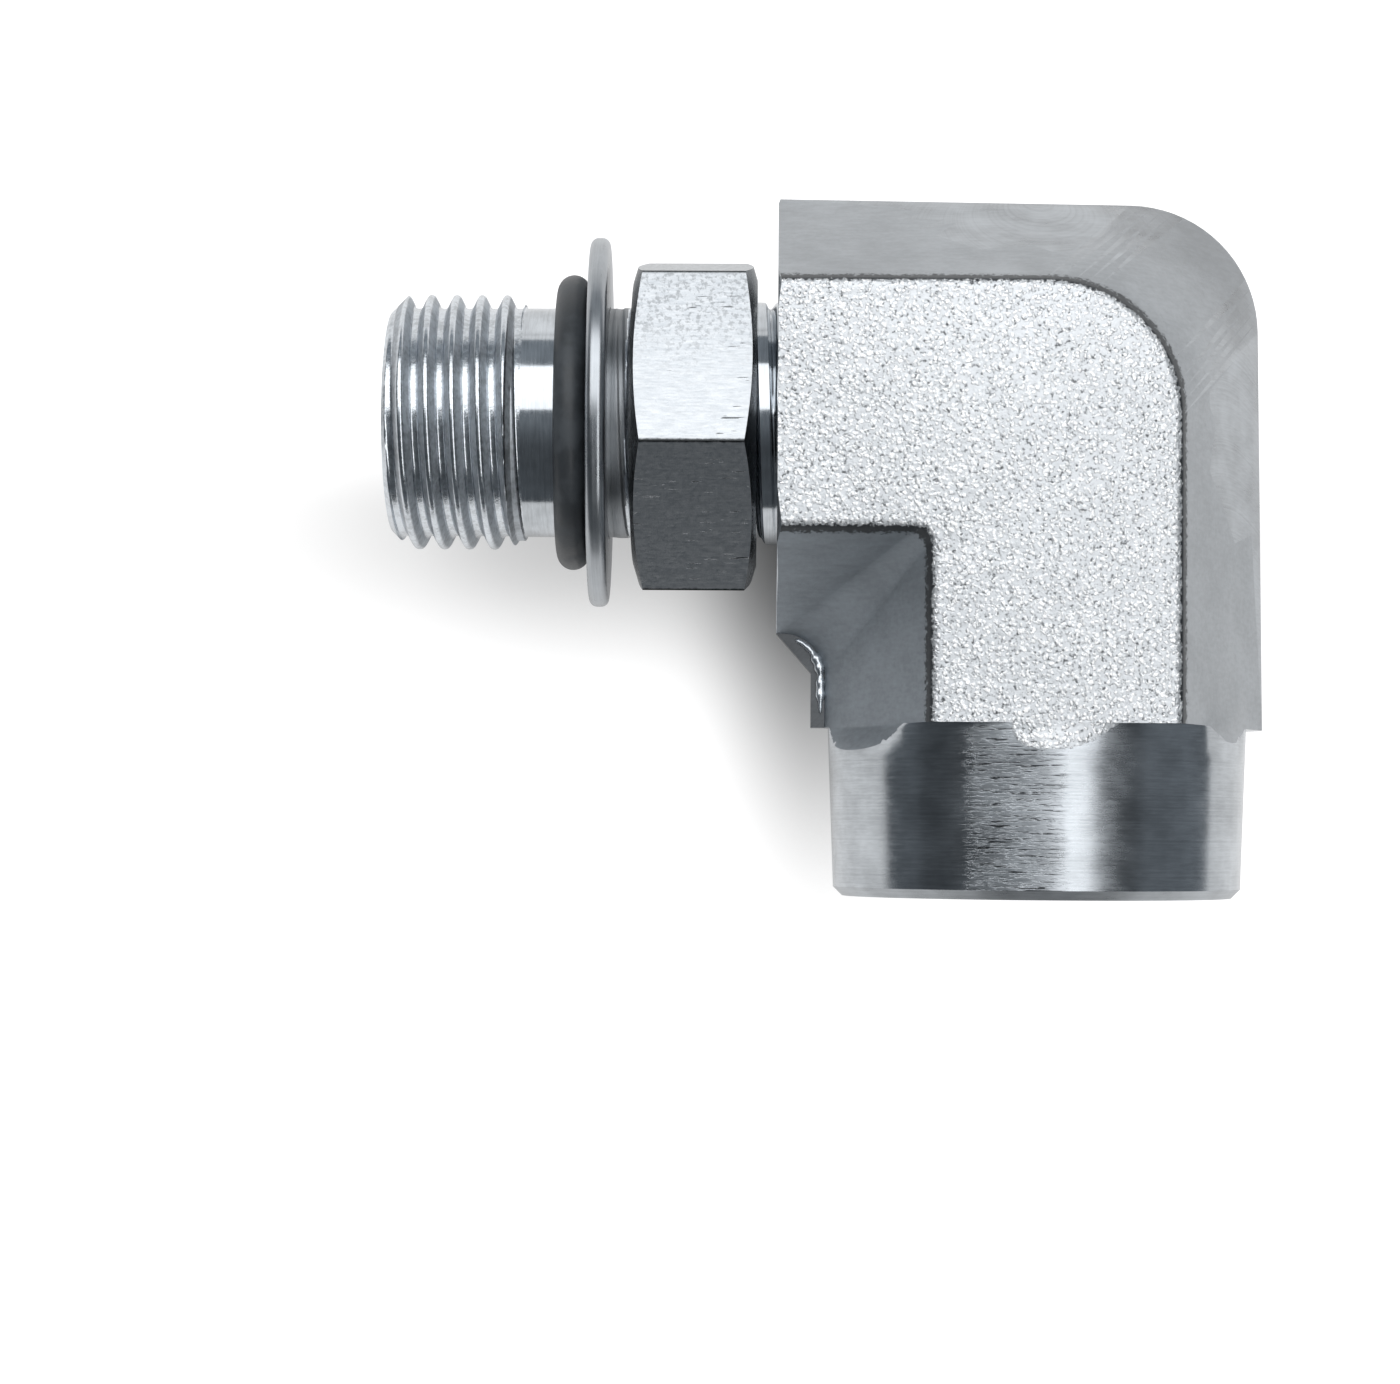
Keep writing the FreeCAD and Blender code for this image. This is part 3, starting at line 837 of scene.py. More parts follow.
class ThreadMill:
    """Makes threaded surfaces with one tree of geometry nodes: a strip wound along a helix."""

    WHOLE = ("Turns", "Segments", "Steps")
    VECTORS = ("Place", "Turn")
    WELD = 0.004

    def __init__(self, sample: ThreadForm, material: bpy.types.Material) -> None:
        """Build the tree with one input for each size of a thread.

        Args:
            sample: Any thread, for the names of its sizes.
            material: What every thread is made of.
        """
        self.material = material
        self.tree = bpy.data.node_groups.new("threaded_surface", "GeometryNodeTree")
        self.tree.interface.new_socket("Geometry", in_out="OUTPUT", socket_type="NodeSocketGeometry")
        self.identifiers: dict[str, str] = {}
        for name in sample.inputs():
            kind = "NodeSocketFloat"
            if name in self.WHOLE:
                kind = "NodeSocketInt"
            elif name in self.VECTORS:
                kind = "NodeSocketVector"
            socket = self.tree.interface.new_socket(name, in_out="INPUT", socket_type=kind)
            self.identifiers[name] = socket.identifier
        self._build(NodeDesk(self.tree))

    def _build(self, desk: NodeDesk) -> None:
        """Wind a flat grid into the thread, weld its turns and place it.

        Args:
            desk: Where the tree's nodes go.
        """
        group = desk.add("NodeGroupInput")
        size = {name: desk.read(group, name) for name in self.identifiers}
        columns = size["Turns"] * size["Segments"] + 1.0
        counts = {"Size X": 1.0, "Size Y": 1.0, "Vertices X": columns}
        grid = desk.add("GeometryNodeMeshGrid", inputs={**counts, "Vertices Y": size["Steps"] + 1.0})
        across, up, _ = desk.split(desk.read(desk.add("GeometryNodeInputPosition")))

        turned = (across + 0.5) * size["Turns"]
        share = up + 0.5
        pitch = size["Pitch"]
        skipped = desk.math("FLOOR", (size["Start"] - size["Crest Place"]) / pitch)
        origin = size["Crest Place"] + (skipped - 1.5) * pitch
        along = origin + pitch * (turned + share)
        along = along.at_least(size["Start"]).at_most(size["End"])
        phase = desk.math("FRACT", (along - origin) / pitch - turned)

        position = desk.join(along, *self._circle(desk, self._radius(desk, size, along, phase), turned))
        to_metres = (MM, MM, MM)
        place = desk.vector("MULTIPLY", size["Place"], to_metres)
        surface = desk.read(grid, "Mesh")
        for kind, inputs in (
            ("GeometryNodeSetPosition", {"Position": position}),
            ("GeometryNodeMergeByDistance", {"Distance": self.WELD}),
            (
                "GeometryNodeTransform",
                {"Translation": place, "Rotation": size["Turn"], "Scale": to_metres},
            ),
            ("GeometryNodeSetShadeSmooth", {}),
            ("GeometryNodeRealizeInstances", {}),
            ("GeometryNodeSetMaterial", {"Material": self.material}),
        ):
            surface = desk.read(desk.add(kind, inputs={"Geometry": surface, **inputs}))
        desk.add("NodeGroupOutput", inputs={"Geometry": surface})

    @staticmethod
    def _circle(desk: NodeDesk, radius: Signal, turned: Signal) -> tuple[Signal, Signal]:
        """Y and Z of a point at a radius, after so many turns."""
        angle = turned * math.tau
        return radius * desk.math("COSINE", angle), radius * desk.math("SINE", angle)

    @staticmethod
    def _radius(desk: NodeDesk, size: Mapping[str, Signal], along: Signal, phase: Signal) -> Signal:
        """Radius of the surface: the cut thread inside its blank, settled on a circle at each end.

        Args:
            desk: Where its nodes go.
            size: The tree's inputs by name.
            along: Place along the axis.
            phase: Place within the pitch, 0 in the root and 0.5 on the crest.

        Returns:
            The radius.
        """
        rounding = size["Crest Round"] * size["Crest Round"]
        half_flat = size["Crest Flat"] / 2.0
        off_middle = abs(phase - 0.5)
        crown = off_middle.at_most(half_flat) / half_flat
        off_crest = (off_middle - half_flat).at_least(0.0)
        fall = (off_crest * off_crest + rounding) ** 0.5 - size["Crest Round"]
        to_root = 0.5 - size["Root Flat"] / 2.0 - half_flat
        full = (to_root * to_root + rounding) ** 0.5 - size["Crest Round"]
        height = 1.0 - fall / full
        hollow = size["Root Round"] * size["Root Round"]
        height = (height + (height * height + hollow) ** 0.5) / 2.0
        past_start = along - size["Start"]
        before_end = size["End"] - along
        depth = size["Crest Radius"] - size["Root Radius"]
        side = size["Side"]
        cut = size["Root Radius"] + depth * height - size["Taper"] * past_start
        cut = cut - side * size["Crest Crown"] * crown * crown

        entry = (past_start - size["Entry Hold"]).at_least(0.0) * size["Entry Slope"]
        leave = (before_end - size["Exit Hold"]).at_least(0.0) * size["Exit Slope"]
        blank = (side * size["Entry Radius"] + entry).at_most(side * size["Exit Radius"] + leave)
        radius = (side * cut).at_most(blank) * side
        settled = past_start.rise(0.0, size["Fade In"])
        radius = size["Start Radius"] + (radius - size["Start Radius"]) * settled
        settled = before_end.rise(0.0, size["Fade Out"])
        return size["End Radius"] + (radius - size["End Radius"]) * settled

    def cut(self, form: ThreadForm) -> bpy.types.Mesh:
        """Make one thread.

        Args:
            form: Its sizes.

        Returns:
            The open surface from the circle at its start to the circle at its end, in metres.
        """
        holder = put("thread_blank", bpy.data.meshes.new("thread_blank"))
        modifier = holder.modifiers.new("thread", "NODES")
        modifier.node_group = self.tree
        for name, value in form.inputs().items():
            modifier[self.identifiers[name]] = value
        shaped = holder.evaluated_get(bpy.context.evaluated_depsgraph_get())
        mesh = bpy.data.meshes.new_from_object(shaped)
        holder.modifiers.remove(modifier)
        bpy.data.objects.remove(holder)
        return mesh


# Meshes


def join_rings(mesh: bmesh.types.BMesh, rings: list[list[bmesh.types.BMVert]]) -> list[bmesh.types.BMFace]:
    """Join rings of points, each to the next, with faces of four corners.

    Args:
        mesh: The mesh that they are in.
        rings: Rings with as many points each.

    Returns:
        The faces.
    """
    made = []
    for near, far in zip(rings, rings[1:]):
        for here, corner in enumerate(near):
            after = (here + 1) % len(near)
            made.append(mesh.faces.new((corner, near[after], far[after], far[here])))
    return made


class Axis(Enum):
    """A straight line that a round surface is turned about."""

    STUD = (0, STUD_Y)
    PORT = (1, 0.0)

    def along(self, point: Vector) -> float:
        """Place of a point along the axis, in millimetres."""
        return point[self.value[0]] / MM

    def radius(self, point: Vector) -> float:
        """Distance of a point from the axis, in millimetres."""
        index, centre = self.value
        return math.hypot(point[1 - index] / MM - centre, point.z / MM)


class Workpiece:
    """A mesh under work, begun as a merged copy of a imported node."""

    WELD = 1e-6
    THIN = 1e-8
    NEAR = 0.004
    FLAT_AREA = 8e-6
    FLAT_STEP = 1.5

    def __init__(self, node: str) -> None:
        """Copy a node of the frame and merge its loose triangles.

        Args:
            node: Name of the node.
        """
        self.mesh = bmesh.new()
        self.mesh.from_mesh(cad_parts[node].data)
        bmesh.ops.remove_doubles(self.mesh, verts=self.mesh.verts[:], dist=self.WELD)
        for face in self.mesh.faces:
            face.material_index = 0

    def strip(self, wanted: Callable[[Vector], bool]) -> None:
        """Take away the faces whose corners all pass a test on their place in metres."""
        faces = [f for f in self.mesh.faces if all(wanted(v.co) for v in f.verts)]
        bmesh.ops.delete(self.mesh, geom=faces, context="FACES")

    def join(self, mesh: bpy.types.Mesh) -> None:
        """Add a finished surface, and drop the mesh that brought it."""
        self.mesh.from_mesh(mesh)
        bpy.data.meshes.remove(mesh)

    def open_edges(self, test: Callable[[Vector], bool]) -> list[bmesh.types.BMEdge]:
        """Edges with a face on one side only, both of whose ends pass a test."""
        return [e for e in self.mesh.edges if e.is_boundary and all(test(v.co) for v in e.verts)]

    def cap(self, axis: Axis, place: float) -> None:
        """Close the flat ring between the two open loops on a plane across an axis.

        Args:
            axis: The axis that the plane is square to.
            place: Where it lies along the axis.
        """
        edges = self.open_edges(lambda co: abs(axis.along(co) - place) < self.NEAR)
        bmesh.ops.triangle_fill(self.mesh, use_beauty=True, edges=edges)

    def bridge(self, axis: Axis, low: float, splits: Iterable[float], high: float) -> None:
        """Close the round gap between two open loops, with rings of edges between them.

        Args:
            axis: The axis that both loops lie round.
            low: Place of the first loop along the axis.
            splits: Places of the new rings.
            high: Place of the second loop.
        """
        ends = (low, high)
        edges = self.open_edges(lambda co: any(abs(axis.along(co) - end) < self.NEAR for end in ends))
        made = bmesh.ops.bridge_loops(self.mesh, edges=edges)
        parts = made["faces"] + made["edges"]
        normal = Vector()
        normal[axis.value[0]] = 1.0
        for split in splits:
            point = normal * split * MM
            cut = bmesh.ops.bisect_plane(
                self.mesh, geom=parts, plane_co=point, plane_no=normal, dist=self.THIN
            )
            parts = cut["geom"]

    def is_crisp(self, edge: bmesh.types.BMEdge, crisp: float) -> bool:
        """Whether an edge stays sharp, as a steep edge and the border of a large flat face do.

        Args:
            edge: An edge with two faces.
            crisp: Angle in degrees above which every edge stays sharp.

        Returns:
            True for a sharp edge.
        """
        angle = math.degrees(edge.calc_face_angle(0.0))
        area = max(face.calc_area() for face in edge.link_faces)
        return angle > crisp or (angle > self.FLAT_STEP and area > self.FLAT_AREA)

    def finish(
        self,
        name: str,
        materials: Iterable[bpy.types.Material],
        zone: Callable[[bmesh.types.BMFace], int],
        crisp: float = 30.0,
    ) -> bpy.types.Object:
        """Close the work and make it an object of the scene.

        Args:
            name: The piece's name.
            materials: Its materials in the order of its zones.
            zone: Gives a face's place in that order.
            crisp: Angle in degrees above which an edge stays sharp.

        Returns:
            The object, at the origin.
        """
        bmesh.ops.dissolve_degenerate(self.mesh, dist=self.THIN, edges=self.mesh.edges[:])
        bmesh.ops.recalc_face_normals(self.mesh, faces=self.mesh.faces[:])
        open_edges = sum(1 for e in self.mesh.edges if not e.is_manifold)
        for face in self.mesh.faces:
            face.smooth = True
            face.material_index = zone(face)
        for edge in self.mesh.edges:
            edge.smooth = not (edge.is_manifold and self.is_crisp(edge, crisp))
        mesh = bpy.data.meshes.new(name)
        for material in materials:
            mesh.materials.append(material)
        self.mesh.to_mesh(mesh)
        self.mesh.free()
        log.info("%s: %d faces, %d open edges", name, len(mesh.polygons), open_edges)
        return put(name, mesh)


# Pieces


def on_stud(name: str, **sizes: float) -> TurnedPlating:
    """The finish of lathe work round the stud's axis, with its own sizes."""
    return TurnedPlating(name, axis=0, centre=STUD_Y, **sizes)


def zone_materials(
    zones: type[IntEnum], finishes: Mapping[IntEnum, Finish], threads: bpy.types.Material
) -> list[bpy.types.Material]:
    """The materials of a piece in the order of its zones, with the threads' own where none is given."""
    return [finishes[zone].material() if zone in finishes else threads for zone in zones]


class ElbowZone(IntEnum):
    """Surfaces of the elbow, in the order of its materials."""

    FORGED = 0
    BARREL = 1
    FACED = 2
    THREAD = 3
    BORE = 4
    NECK = 5
    RELIEF = 6
    WEB = 7
    BURR = 8


@dataclass(frozen=True)
class RolledBurr:
    """The rolled burr that the trimming die leaves at the foot of the inner corner.

    It follows the corner's round and then the forging's side down to its foot.
    """

    inner_reach: float
    inner_round: float
    land_height: float
    start_angle: float = 1.22
    set_off: float = 0.22
    rise: float = 0.06
    radius: float = 0.21
    width: float = 1.25
    foot: float = 8.7
    tip: float = 0.02
    waves: tuple[tuple[float, float, float], ...] = ((0.22, 17.0, 1.0), (0.16, 41.0, 0.0))
    steps: int = 60
    sides: int = 14

    def ring(self, share: float, side: float) -> list[Vector]:
        """The burr's outline at a place along it.

        Args:
            share: 0 at its start in the corner, and 1 at its foot.
            side: 1 for the upper half of the forging, and -1 for the lower half.

        Returns:
            Points round it, in metres.
        """
        centre_reach = self.inner_reach + self.inner_round
        middle = Vector((-centre_reach, STUD_Y - centre_reach, 0.0))
        arc = self.start_angle * self.inner_round
        run = share * (arc + middle.y - self.foot)
        turn = max(self.start_angle - run / self.inner_round, 0.0)
        inward = Vector((math.cos(turn), math.sin(turn), 0.0))
        centre = middle + inward * (self.inner_round - self.set_off)
        centre.y -= max(run - arc, 0.0)
        wave = 1 + sum(size * math.sin(rate * share + lead) for size, rate, lead in self.waves)
        thick = self.radius * max(wave * math.sin(math.pi * share) ** 0.5, self.tip)
        points = []
        for spoke in range(self.sides):
            angle = math.tau * spoke / self.sides
            point = centre + inward * math.cos(angle) * thick * self.width
            point.z = side * (self.land_height + self.rise + math.sin(angle) * thick)
            points.append(point * MM)
        return points

    def add_to(self, work: Workpiece, side: float) -> None:
        """Add the burr to the elbow.

        Args:
            work: The elbow under work.
            side: 1 for the upper half of the forging, and -1 for the lower half.
        """
        outlines = [self.ring(step / self.steps, side) for step in range(self.steps + 1)]
        rings = [[work.mesh.verts.new(point) for point in outline] for outline in outlines]
        faces = join_rings(work.mesh, rings)
        faces += [work.mesh.faces.new(end) for end in (rings[0], rings[-1])]
        for face in faces:
            face.material_index = ElbowZone.BURR


@dataclass
class Elbow:
    """The forged elbow with its integral stud, threaded at the stud and in the pipe port."""

    stud_end: float = -36.05
    body_end: float = -14.5
    neck_front: float = -28.5
    neck_rear: float = -23.7
    washer_back: float = -24.4
    neck_radius: float = 6.4
    neck_step: float = 0.04
    thread_crest: float = 7.125
    thread_root: float = 6.38
    first_crest: float = -29.67
    runout_radius: float = 6.62
    end_radius: float = 6.175
    stud_bore_mouth: float = 4.15
    rear_neck_radius: float = 6.78
    plain_length: float = 1.3
    relief_end: float = -22.8
    ring_gap: float = 0.08
    passage_clear: float = 7.4
    shoulder: float = 7.9
    barrel_shoulder_radius: float = 11.58
    barrel_end_radius: float = 11.25
    port_face: float = -1.4
    rim_height: float = 0.6
    port_mouth_radius: float = 8.75
    port_bore_radius: float = 7.35
    port_bore_end: float = 13.8
    port_clear: float = 9.0
    pipe_crest: float = 7.43
    pipe_root: float = 8.5
    pipe_first_crest: float = 0.4
    pipe_step: float = 0.05
    faced_radius: float = 12.3
    faced_slope: float = 15.0
    inner_reach: float = 11.8
    inner_round: float = 2.4
    land_height: float = 0.6
    slack: float = 0.01
    faced_slack: float = 0.03
    turned_slack: float = 0.04
    rim_facing: float = 0.3

    def front_thread(self) -> ThreadForm:
        """The straight thread that screws into a port.

        Returns:
            The thread's sizes.
        """
        return ThreadForm(
            start=self.stud_end,
            end=self.neck_front,
            crest_radius=self.thread_crest,
            root_radius=self.thread_root,
            crest_place=self.first_crest,
            start_radius=self.end_radius,
            end_radius=self.neck_radius,
            entry_radius=self.end_radius,
            exit_radius=self.runout_radius,
            exit_hold=0.5,
            exit_slope=1.5,
            fade_out=0.14,
            steps=32,
        )

    def rear_thread(self) -> ThreadForm:
        """The same thread behind the neck, which carries the locknut.

        Returns:
            The thread's sizes.
        """
        return ThreadForm(
            start=self.neck_rear,
            end=self.body_end,
            crest_radius=self.thread_crest,
            root_radius=self.thread_root,
            crest_place=self.first_crest,
            start_radius=self.neck_radius,
            end_radius=self.rear_neck_radius,
            entry_radius=self.neck_radius + self.neck_step,
            exit_radius=self.rear_neck_radius,
            entry_hold=1.0,
            exit_hold=self.plain_length,
            fade_in=0.5,
            fade_out=0.5,
        )

    def pipe_thread(self) -> ThreadForm:
        """The taper thread in the port, cut inwards from its countersink.

        Returns:
            The thread's sizes.
        """
        return ThreadForm(
            start=self.port_face,
            end=self.port_bore_end,
            crest_radius=self.pipe_crest,
            root_radius=self.pipe_root,
            crest_place=self.pipe_first_crest,
            start_radius=self.port_mouth_radius,
            end_radius=self.port_bore_radius - self.pipe_step,
            entry_radius=self.port_mouth_radius,
            exit_radius=self.port_bore_radius - self.pipe_step,
            exit_hold=1.6,
            exit_slope=0.6,
            taper=PIPE_TAPER / 2,
            place=(0.0, 0.0, 0.0),
            turn=(0.0, 0.0, math.pi / 2),
            segments=104,
            steps=14,
        )

    def finishes(self) -> dict[ElbowZone, Finish]:
        """The finish of each zone, apart from the threads.

        Returns:
            Finishes by zone.
        """
        return {
            ElbowZone.FORGED: ForgedPlating("blasted_forging_plating"),
            ElbowZone.BARREL: BarrelPlating("turned_barrel_plating", shoulder=self.shoulder),
            ElbowZone.FACED: on_stud("faced_end_plating"),
            ElbowZone.BORE: TurnedPlating("bored_plating", colour=0.42, roughness=0.3),
            ElbowZone.NECK: on_stud("turned_neck_plating", colour=0.55, roughness=0.12, depth=0.0006),
            # Painted shade: the relief between the washer and the nut is coloured darker than the neck; it
            # is also rougher, with deeper feed marks.
            ElbowZone.RELIEF: on_stud(
                "thread_relief_painted_shade", colour=0.3, roughness=0.42, feed=4.0, depth=0.02
            ),
            # Painted shade: the trimmed flash at the foot of the inner corner between the legs is coloured
            # dark.
            ElbowZone.WEB: TurnedPlating("trimmed_flash_painted_shade", colour=0.12, roughness=0.45),
            ElbowZone.BURR: TurnedPlating("rolled_burr_plating", colour=0.75, roughness=0.3),
        }

    def build(self, mill: ThreadMill) -> bpy.types.Object:
        """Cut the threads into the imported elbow.

        Args:
            mill: Makes the threaded surfaces.

        Returns:
            The dressed elbow.
        """
        work = Workpiece("elbow_body")
        slack = Workpiece.NEAR
        work.strip(
            lambda co: Axis.STUD.along(co) < self.body_end + slack
            and Axis.STUD.radius(co) > self.stud_bore_mouth - slack
        )
        work.strip(
            lambda co: Axis.PORT.along(co) < self.port_bore_end + slack
            and Axis.PORT.radius(co) < self.port_mouth_radius + slack
        )
        work.strip(lambda co: Axis.PORT.along(co) < self.port_face + slack)
        for form in (self.front_thread(), self.rear_thread(), self.pipe_thread()):
            work.join(mill.cut(form))
        rings = (self.neck_front + self.ring_gap, self.washer_back, self.neck_rear - self.ring_gap)
        work.bridge(Axis.STUD, self.neck_front, rings, self.neck_rear)
        work.cap(Axis.STUD, self.stud_end)
        work.cap(Axis.STUD, self.body_end)
        work.cap(Axis.PORT, self.port_face)
        work.cap(Axis.PORT, self.port_bore_end)
        burr = RolledBurr(self.inner_reach, self.inner_round, self.land_height)
        for side in (1.0, -1.0):
            burr.add_to(work, side)
        materials = zone_materials(ElbowZone, self.finishes(), mill.material)
        piece = work.finish("elbow", materials, self.zone_of, crisp=38.0)
        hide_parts("elbow_body")
        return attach(piece, "fitting")

    def zone_of(self, face: bmesh.types.BMFace) -> int:
        """The zone that a face of the elbow belongs to.

        Args:
            face: The face.

        Returns:
            Its zone.
        """
        if face.material_index == ElbowZone.BURR:
            return ElbowZone.BURR
        centre = face.calc_center_median()
        x, y, z = (part / MM for part in centre)
        stud_radius, port_radius = Axis.STUD.radius(centre), Axis.PORT.radius(centre)
        on_web = x < -self.inner_reach and self.shoulder < y < STUD_Y - self.inner_reach
        if on_web and abs(z) < self.land_height + self.slack:
            return ElbowZone.WEB
        if x < self.body_end - self.slack:
            return self.stud_zone(x, stud_radius)
        in_rim = y < self.port_face + self.rim_height
        in_port = port_radius < self.port_clear and y < self.port_bore_end + self.slack
        in_stud_passage = stud_radius < self.passage_clear and x > self.body_end + self.slack
        if in_port or in_stud_passage or in_rim and abs(face.normal.y) > self.rim_facing:
            return ElbowZone.BORE
        if port_radius < self.passage_clear:
            return ElbowZone.BORE
        slope = math.tan(math.radians(self.faced_slope))
        cone = self.body_end + max(stud_radius - self.faced_radius, 0.0) * slope
        if abs(x - cone) < self.faced_slack:
            return ElbowZone.FACED
        share = (self.shoulder - y) / (self.shoulder - self.port_face)
        narrowing = self.barrel_shoulder_radius - self.barrel_end_radius
        turned = self.barrel_shoulder_radius - narrowing * share
        on_turned = y < self.shoulder and port_radius > turned - self.turned_slack
        if abs(y - self.shoulder) < self.slack or on_turned or in_rim:
            return ElbowZone.BARREL
        return ElbowZone.FORGED

    def stud_zone(self, x: float, radius: float) -> int:
        """The zone at a place on the stud.

        Args:
            x: Place along the stud.
            radius: Distance from its axis.

        Returns:
            The zone.
        """
        if radius <= self.stud_bore_mouth:
            return ElbowZone.BORE
        if self.washer_back <= x < self.relief_end:
            return ElbowZone.RELIEF
        on_neck = self.neck_front < x < self.washer_back
        return ElbowZone.NECK if on_neck or x > self.body_end - self.plain_length else ElbowZone.THREAD


class NutZone(IntEnum):
    """Surfaces of the locknut, in the order of its materials."""

    OUTSIDE = 0
    THREAD = 1
    ENDS = 2


@dataclass
class Locknut:
    """The thin hexagon nut that locks the adjustable stud."""

    front: float = -22.51
    rear: float = -15.65
    mouth_radius: float = 7.35
    crest_radius: float = 6.45
    root_radius: float = 7.2
    end_facing: float = 0.5
    slack: float = 0.01

    def thread(self, stud: Elbow) -> ThreadForm:
        """The nut's thread, whose roots lie over the stud's crests.

        Args:
            stud: The elbow that it runs on.

        Returns:
            The thread's sizes.
        """
        return ThreadForm(
            start=self.front,
            end=self.rear,
            crest_radius=self.crest_radius,
            root_radius=self.root_radius,
            crest_place=stud.first_crest + PITCH / 2,
            start_radius=self.mouth_radius,
            end_radius=self.mouth_radius,
            entry_radius=self.mouth_radius,
            exit_radius=self.mouth_radius,
            root_flat=0.12,
            root_round=0.04,
            crest_round=0.04,
            steps=14,
        )

    def finishes(self) -> dict[NutZone, Finish]:
        """The finish of each zone, apart from the thread.

        Returns:
            Finishes by zone.
        """
        return {
            NutZone.OUTSIDE: BrushedPlating("drawn_hexagon_plating"),
            NutZone.ENDS: on_stud("turned_nut_plating", colour=0.16, roughness=0.26),
        }

    def build(self, mill: ThreadMill, stud: Elbow) -> bpy.types.Object:
        """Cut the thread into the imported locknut.

        Args:
            mill: Makes the threaded surface.
            stud: The elbow that the nut runs on.

        Returns:
            The dressed nut.
        """
        work = Workpiece("locknut")
        slack = Workpiece.NEAR
        work.strip(lambda co: Axis.STUD.radius(co) < self.mouth_radius + slack)
        for end in (self.front, self.rear):
            work.strip(lambda co, end=end: abs(Axis.STUD.along(co) - end) < slack)
        work.join(mill.cut(self.thread(stud)))
        for end in (self.front, self.rear):
            work.cap(Axis.STUD, end)
        materials = zone_materials(NutZone, self.finishes(), mill.material)
        piece = work.finish("hex_locknut", materials, self.zone_of)
        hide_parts("locknut")
        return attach(piece, "nut")

    def zone_of(self, face: bmesh.types.BMFace) -> int:
        """The zone that a face of the nut belongs to.

        Args:
            face: The face.

        Returns:
            Its zone.
        """
        if Axis.STUD.radius(face.calc_center_median()) < self.mouth_radius - self.slack:
            return NutZone.THREAD
        return NutZone.ENDS if abs(face.normal.x) > self.end_facing else NutZone.OUTSIDE


class SealRings:
    """The backup washer and the O-ring on the stud's neck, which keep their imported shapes."""

    def finishes(self) -> dict[str, Finish]:
        """The finish of each node.

        Returns:
            Finishes by the node's name.
        """
        return {
            "backup_washer": on_stud("stamped_washer_plating", colour=0.43, roughness=0.3, blotches=0.15),
            "o_ring": Rubber("moulded_nitrile"),
        }

    def build(self) -> list[bpy.types.Object]:
        """Give both rings their finish.

        Returns:
            The two rings.
        """
        rings = []
        for node, finish in self.finishes().items():
            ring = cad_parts[node]
            ring.data.materials.clear()
            ring.data.materials.append(finish.material())
            rings.append(ring)
        return rings


# Studio


@dataclass(frozen=True)
class SoftLamp:
    """A rectangular lamp that faces the adapter, given by the angles that it covers.

    Attributes:
        name: Name of the lamp.
        toward_x: Lowest and highest angle from straight above towards +X, in degrees.
        toward_y: The same towards +Y.
        distance: Millimetres from the adapter.
        level: Brightness of its face, where 1 is white.
    """

    name: str
    toward_x: tuple[float, float]
    toward_y: tuple[float, float]
    distance: float
    level: float

    def hang(self, target: Vector) -> None:
        """Hang the lamp over the adapter and turn it that way.

        Args:
            target: Point that it faces, in metres.
        """
        spans = (self.toward_x, self.toward_y)
        middle_x, middle_y = (math.radians(sum(span) / 2) for span in spans)
        half_x, half_y = (math.radians(span[1] - span[0]) / 2 for span in spans)
        lean = Vector((math.tan(middle_x), math.tan(middle_y), 1.0)).normalized()
        light = bpy.data.lights.new(self.name, "AREA")
        light.shape = "RECTANGLE"
        light.size = 2 * self.distance * MM * math.tan(half_x)
        light.size_y = 2 * self.distance * MM * math.tan(half_y)
        light.energy = self.level * light.size * light.size_y * math.pi
        lamp = put(self.name, light)
        lamp.location = target + lean * self.distance * MM
        across = (Vector((1.0, 0.0, 0.0)) - lean * lean.x).normalized()
        lamp.rotation_mode = "QUATERNION"
        lamp.rotation_quaternion = Matrix((across, lean.cross(across), lean)).transposed().to_quaternion()
        lamp.visible_camera = False


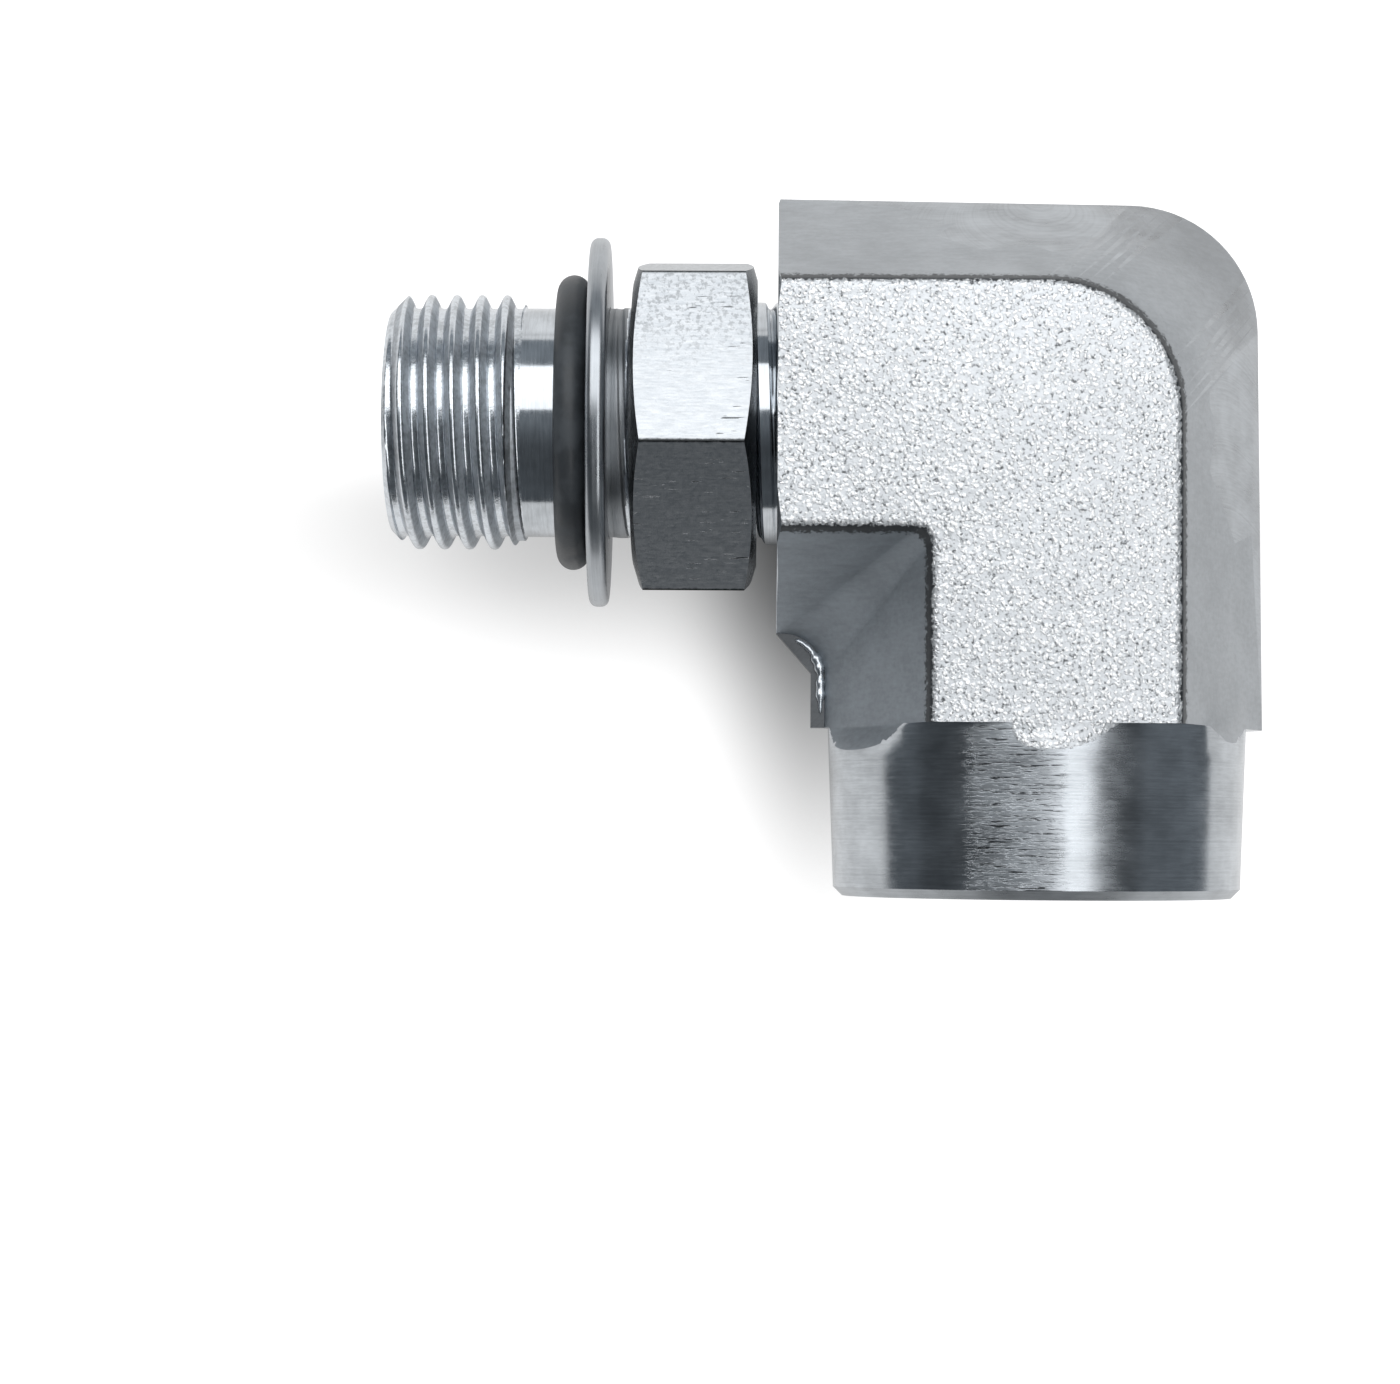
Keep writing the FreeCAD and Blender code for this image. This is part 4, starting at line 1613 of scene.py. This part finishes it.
@dataclass
class Studio:
    """White paper under two soft lamps, in a plain white room, with dark card round it and the camera."""

    floor_height: float = -11.58
    floor_reach: float = 3000.0
    card_right: float = 75.0
    card_left: float = 200.0
    card_ahead: float = 180.0
    card_rise: float = 21.0
    card_rise_behind: float = -9.5
    card_wall: float = 60.0
    card_reach: float = 430.0
    card_bend: float = 200.0
    card_roof: float = 430.0
    card_sides: int = 96
    room_level: float = 0.2
    lamp_target: tuple[float, float, float] = (-8.0, 15.0, 0.0)
    lamps: tuple[SoftLamp, ...] = (
        SoftLamp("main_lamp", (-40.0, 31.0), (8.0, 52.0), 260.0, 1.9),
        SoftLamp("side_lamp", (8.0, 30.0), (-52.0, 7.0), 250.0, 1.9),
    )
    camera_place: tuple[float, float, float] = (-14.956, 1.898, 178.056)
    camera_target: tuple[float, float, float] = (-18.733, 9.875, 0.0)
    camera_roll: float = 0.428
    focal_pixels: float = 3187.494
    clip: tuple[float, float] = (5.0, 20000.0)

    def build(self) -> None:
        """Set the table, the lamps, the room and the camera."""
        self._floor()
        self._card()
        for lamp in self.lamps:
            lamp.hang(Vector(self.lamp_target) * MM)
        self._room()
        self._camera()
        bpy.context.scene.view_settings.view_transform = "Standard"

    def _floor(self) -> None:
        """A wide sheet of white paper under the adapter."""
        reach = self.floor_reach * MM
        mesh = bpy.data.meshes.new("paper")
        corners = [(-reach, -reach), (reach, -reach), (reach, reach), (-reach, reach)]
        mesh.from_pydata([(x, y, self.floor_height * MM) for x, y in corners], [], [(0, 1, 2, 3)])
        mesh.materials.append(Paper("white_paper").material())
        put("paper", mesh)

    def _card(self) -> None:
        """Dark card round the table and over it, seen in the metal alone, with the lamps inside."""
        work = bmesh.new()
        rings: list[list[bmesh.types.BMVert]] = [[], [], [], []]
        for side in range(self.card_sides):
            angle = math.tau * side / self.card_sides
            ahead = math.sin(angle) ** 2
            beside = self.card_right if math.cos(angle) > 0 else self.card_left
            near = beside + (self.card_ahead - beside) * ahead
            rise = self.card_rise if math.sin(angle) > 0 else self.card_rise_behind
            foot = self.floor_height + (rise - self.floor_height) * ahead
            reaches = (near, near, self.card_reach, self.card_reach)
            heights = (foot, self.card_wall, self.card_bend, self.card_roof)
            for ring, reach, height in zip(rings, reaches, heights, strict=True):
                place = (reach * math.cos(angle), reach * math.sin(angle), height)
                ring.append(work.verts.new(Vector(place) * MM))
        join_rings(work, rings[::-1])
        work.faces.new(reversed(rings[-1]))
        mesh = bpy.data.meshes.new("dark_card")
        work.to_mesh(mesh)
        work.free()
        mesh.materials.append(DarkCard("dark_card").material())
        card = put("dark_card", mesh)
        card.visible_camera = False
        card.visible_diffuse = False
        card.visible_shadow = False
        card.visible_transmission = False

    def _room(self) -> None:
        """A white room, whose own light on matt surfaces is low."""
        world = bpy.data.worlds.new("plain_room")
        bpy.context.scene.world = world
        world.use_nodes = True
        world.node_tree.nodes.clear()
        desk = NodeDesk(world.node_tree)
        rays = desk.add("ShaderNodeLightPath")
        seen = desk.read(rays, "Is Camera Ray") + desk.read(rays, "Is Glossy Ray")
        seen = (seen + desk.read(rays, "Is Transmission Ray")).at_most(1.0)
        level = self.room_level + seen * (1.0 - self.room_level)
        inputs = {"Color": (1.0, 1.0, 1.0, 1.0), "Strength": level}
        light = desk.read(desk.add("ShaderNodeBackground", inputs=inputs))
        desk.add("ShaderNodeOutputWorld", inputs={"Surface": light})

    def _camera(self) -> None:
        """The camera, straight above the adapter as the photograph was taken."""
        place, target = Vector(self.camera_place), Vector(self.camera_target)
        ahead = (target - place).normalized()
        level = ahead.cross(Vector((0.0, 1.0, 0.0))).normalized()
        upright = level.cross(ahead)
        roll = math.radians(self.camera_roll)
        right = level * math.cos(roll) + upright * math.sin(roll)
        up = upright * math.cos(roll) - level * math.sin(roll)
        matrix = Matrix((right, up, -ahead)).transposed().to_4x4()
        matrix.translation = place * MM
        data = bpy.data.cameras.new("camera")
        data.sensor_width = SENSOR_WIDTH
        data.lens = SENSOR_WIDTH * self.focal_pixels / PHOTO_WIDTH
        data.clip_start, data.clip_end = (reach * MM for reach in self.clip)
        camera = put("camera", data)
        camera.matrix_world = matrix
        bpy.context.scene.camera = camera


def main() -> None:
    """Dress each piece in order and set the table."""
    logging.basicConfig(level=logging.INFO, format="%(name)s: %(message)s")
    elbow = Elbow()
    threads = ThreadPlating("bright_thread_plating", crest=elbow.thread_crest)
    mill = ThreadMill(elbow.front_thread(), threads.material())
    pieces = [elbow.build(mill), Locknut().build(mill, elbow), *SealRings().build()]
    Studio().build()
    for piece in pieces:
        log.info("dressed %s", piece.name)


if __name__ == "__main__":
    main()
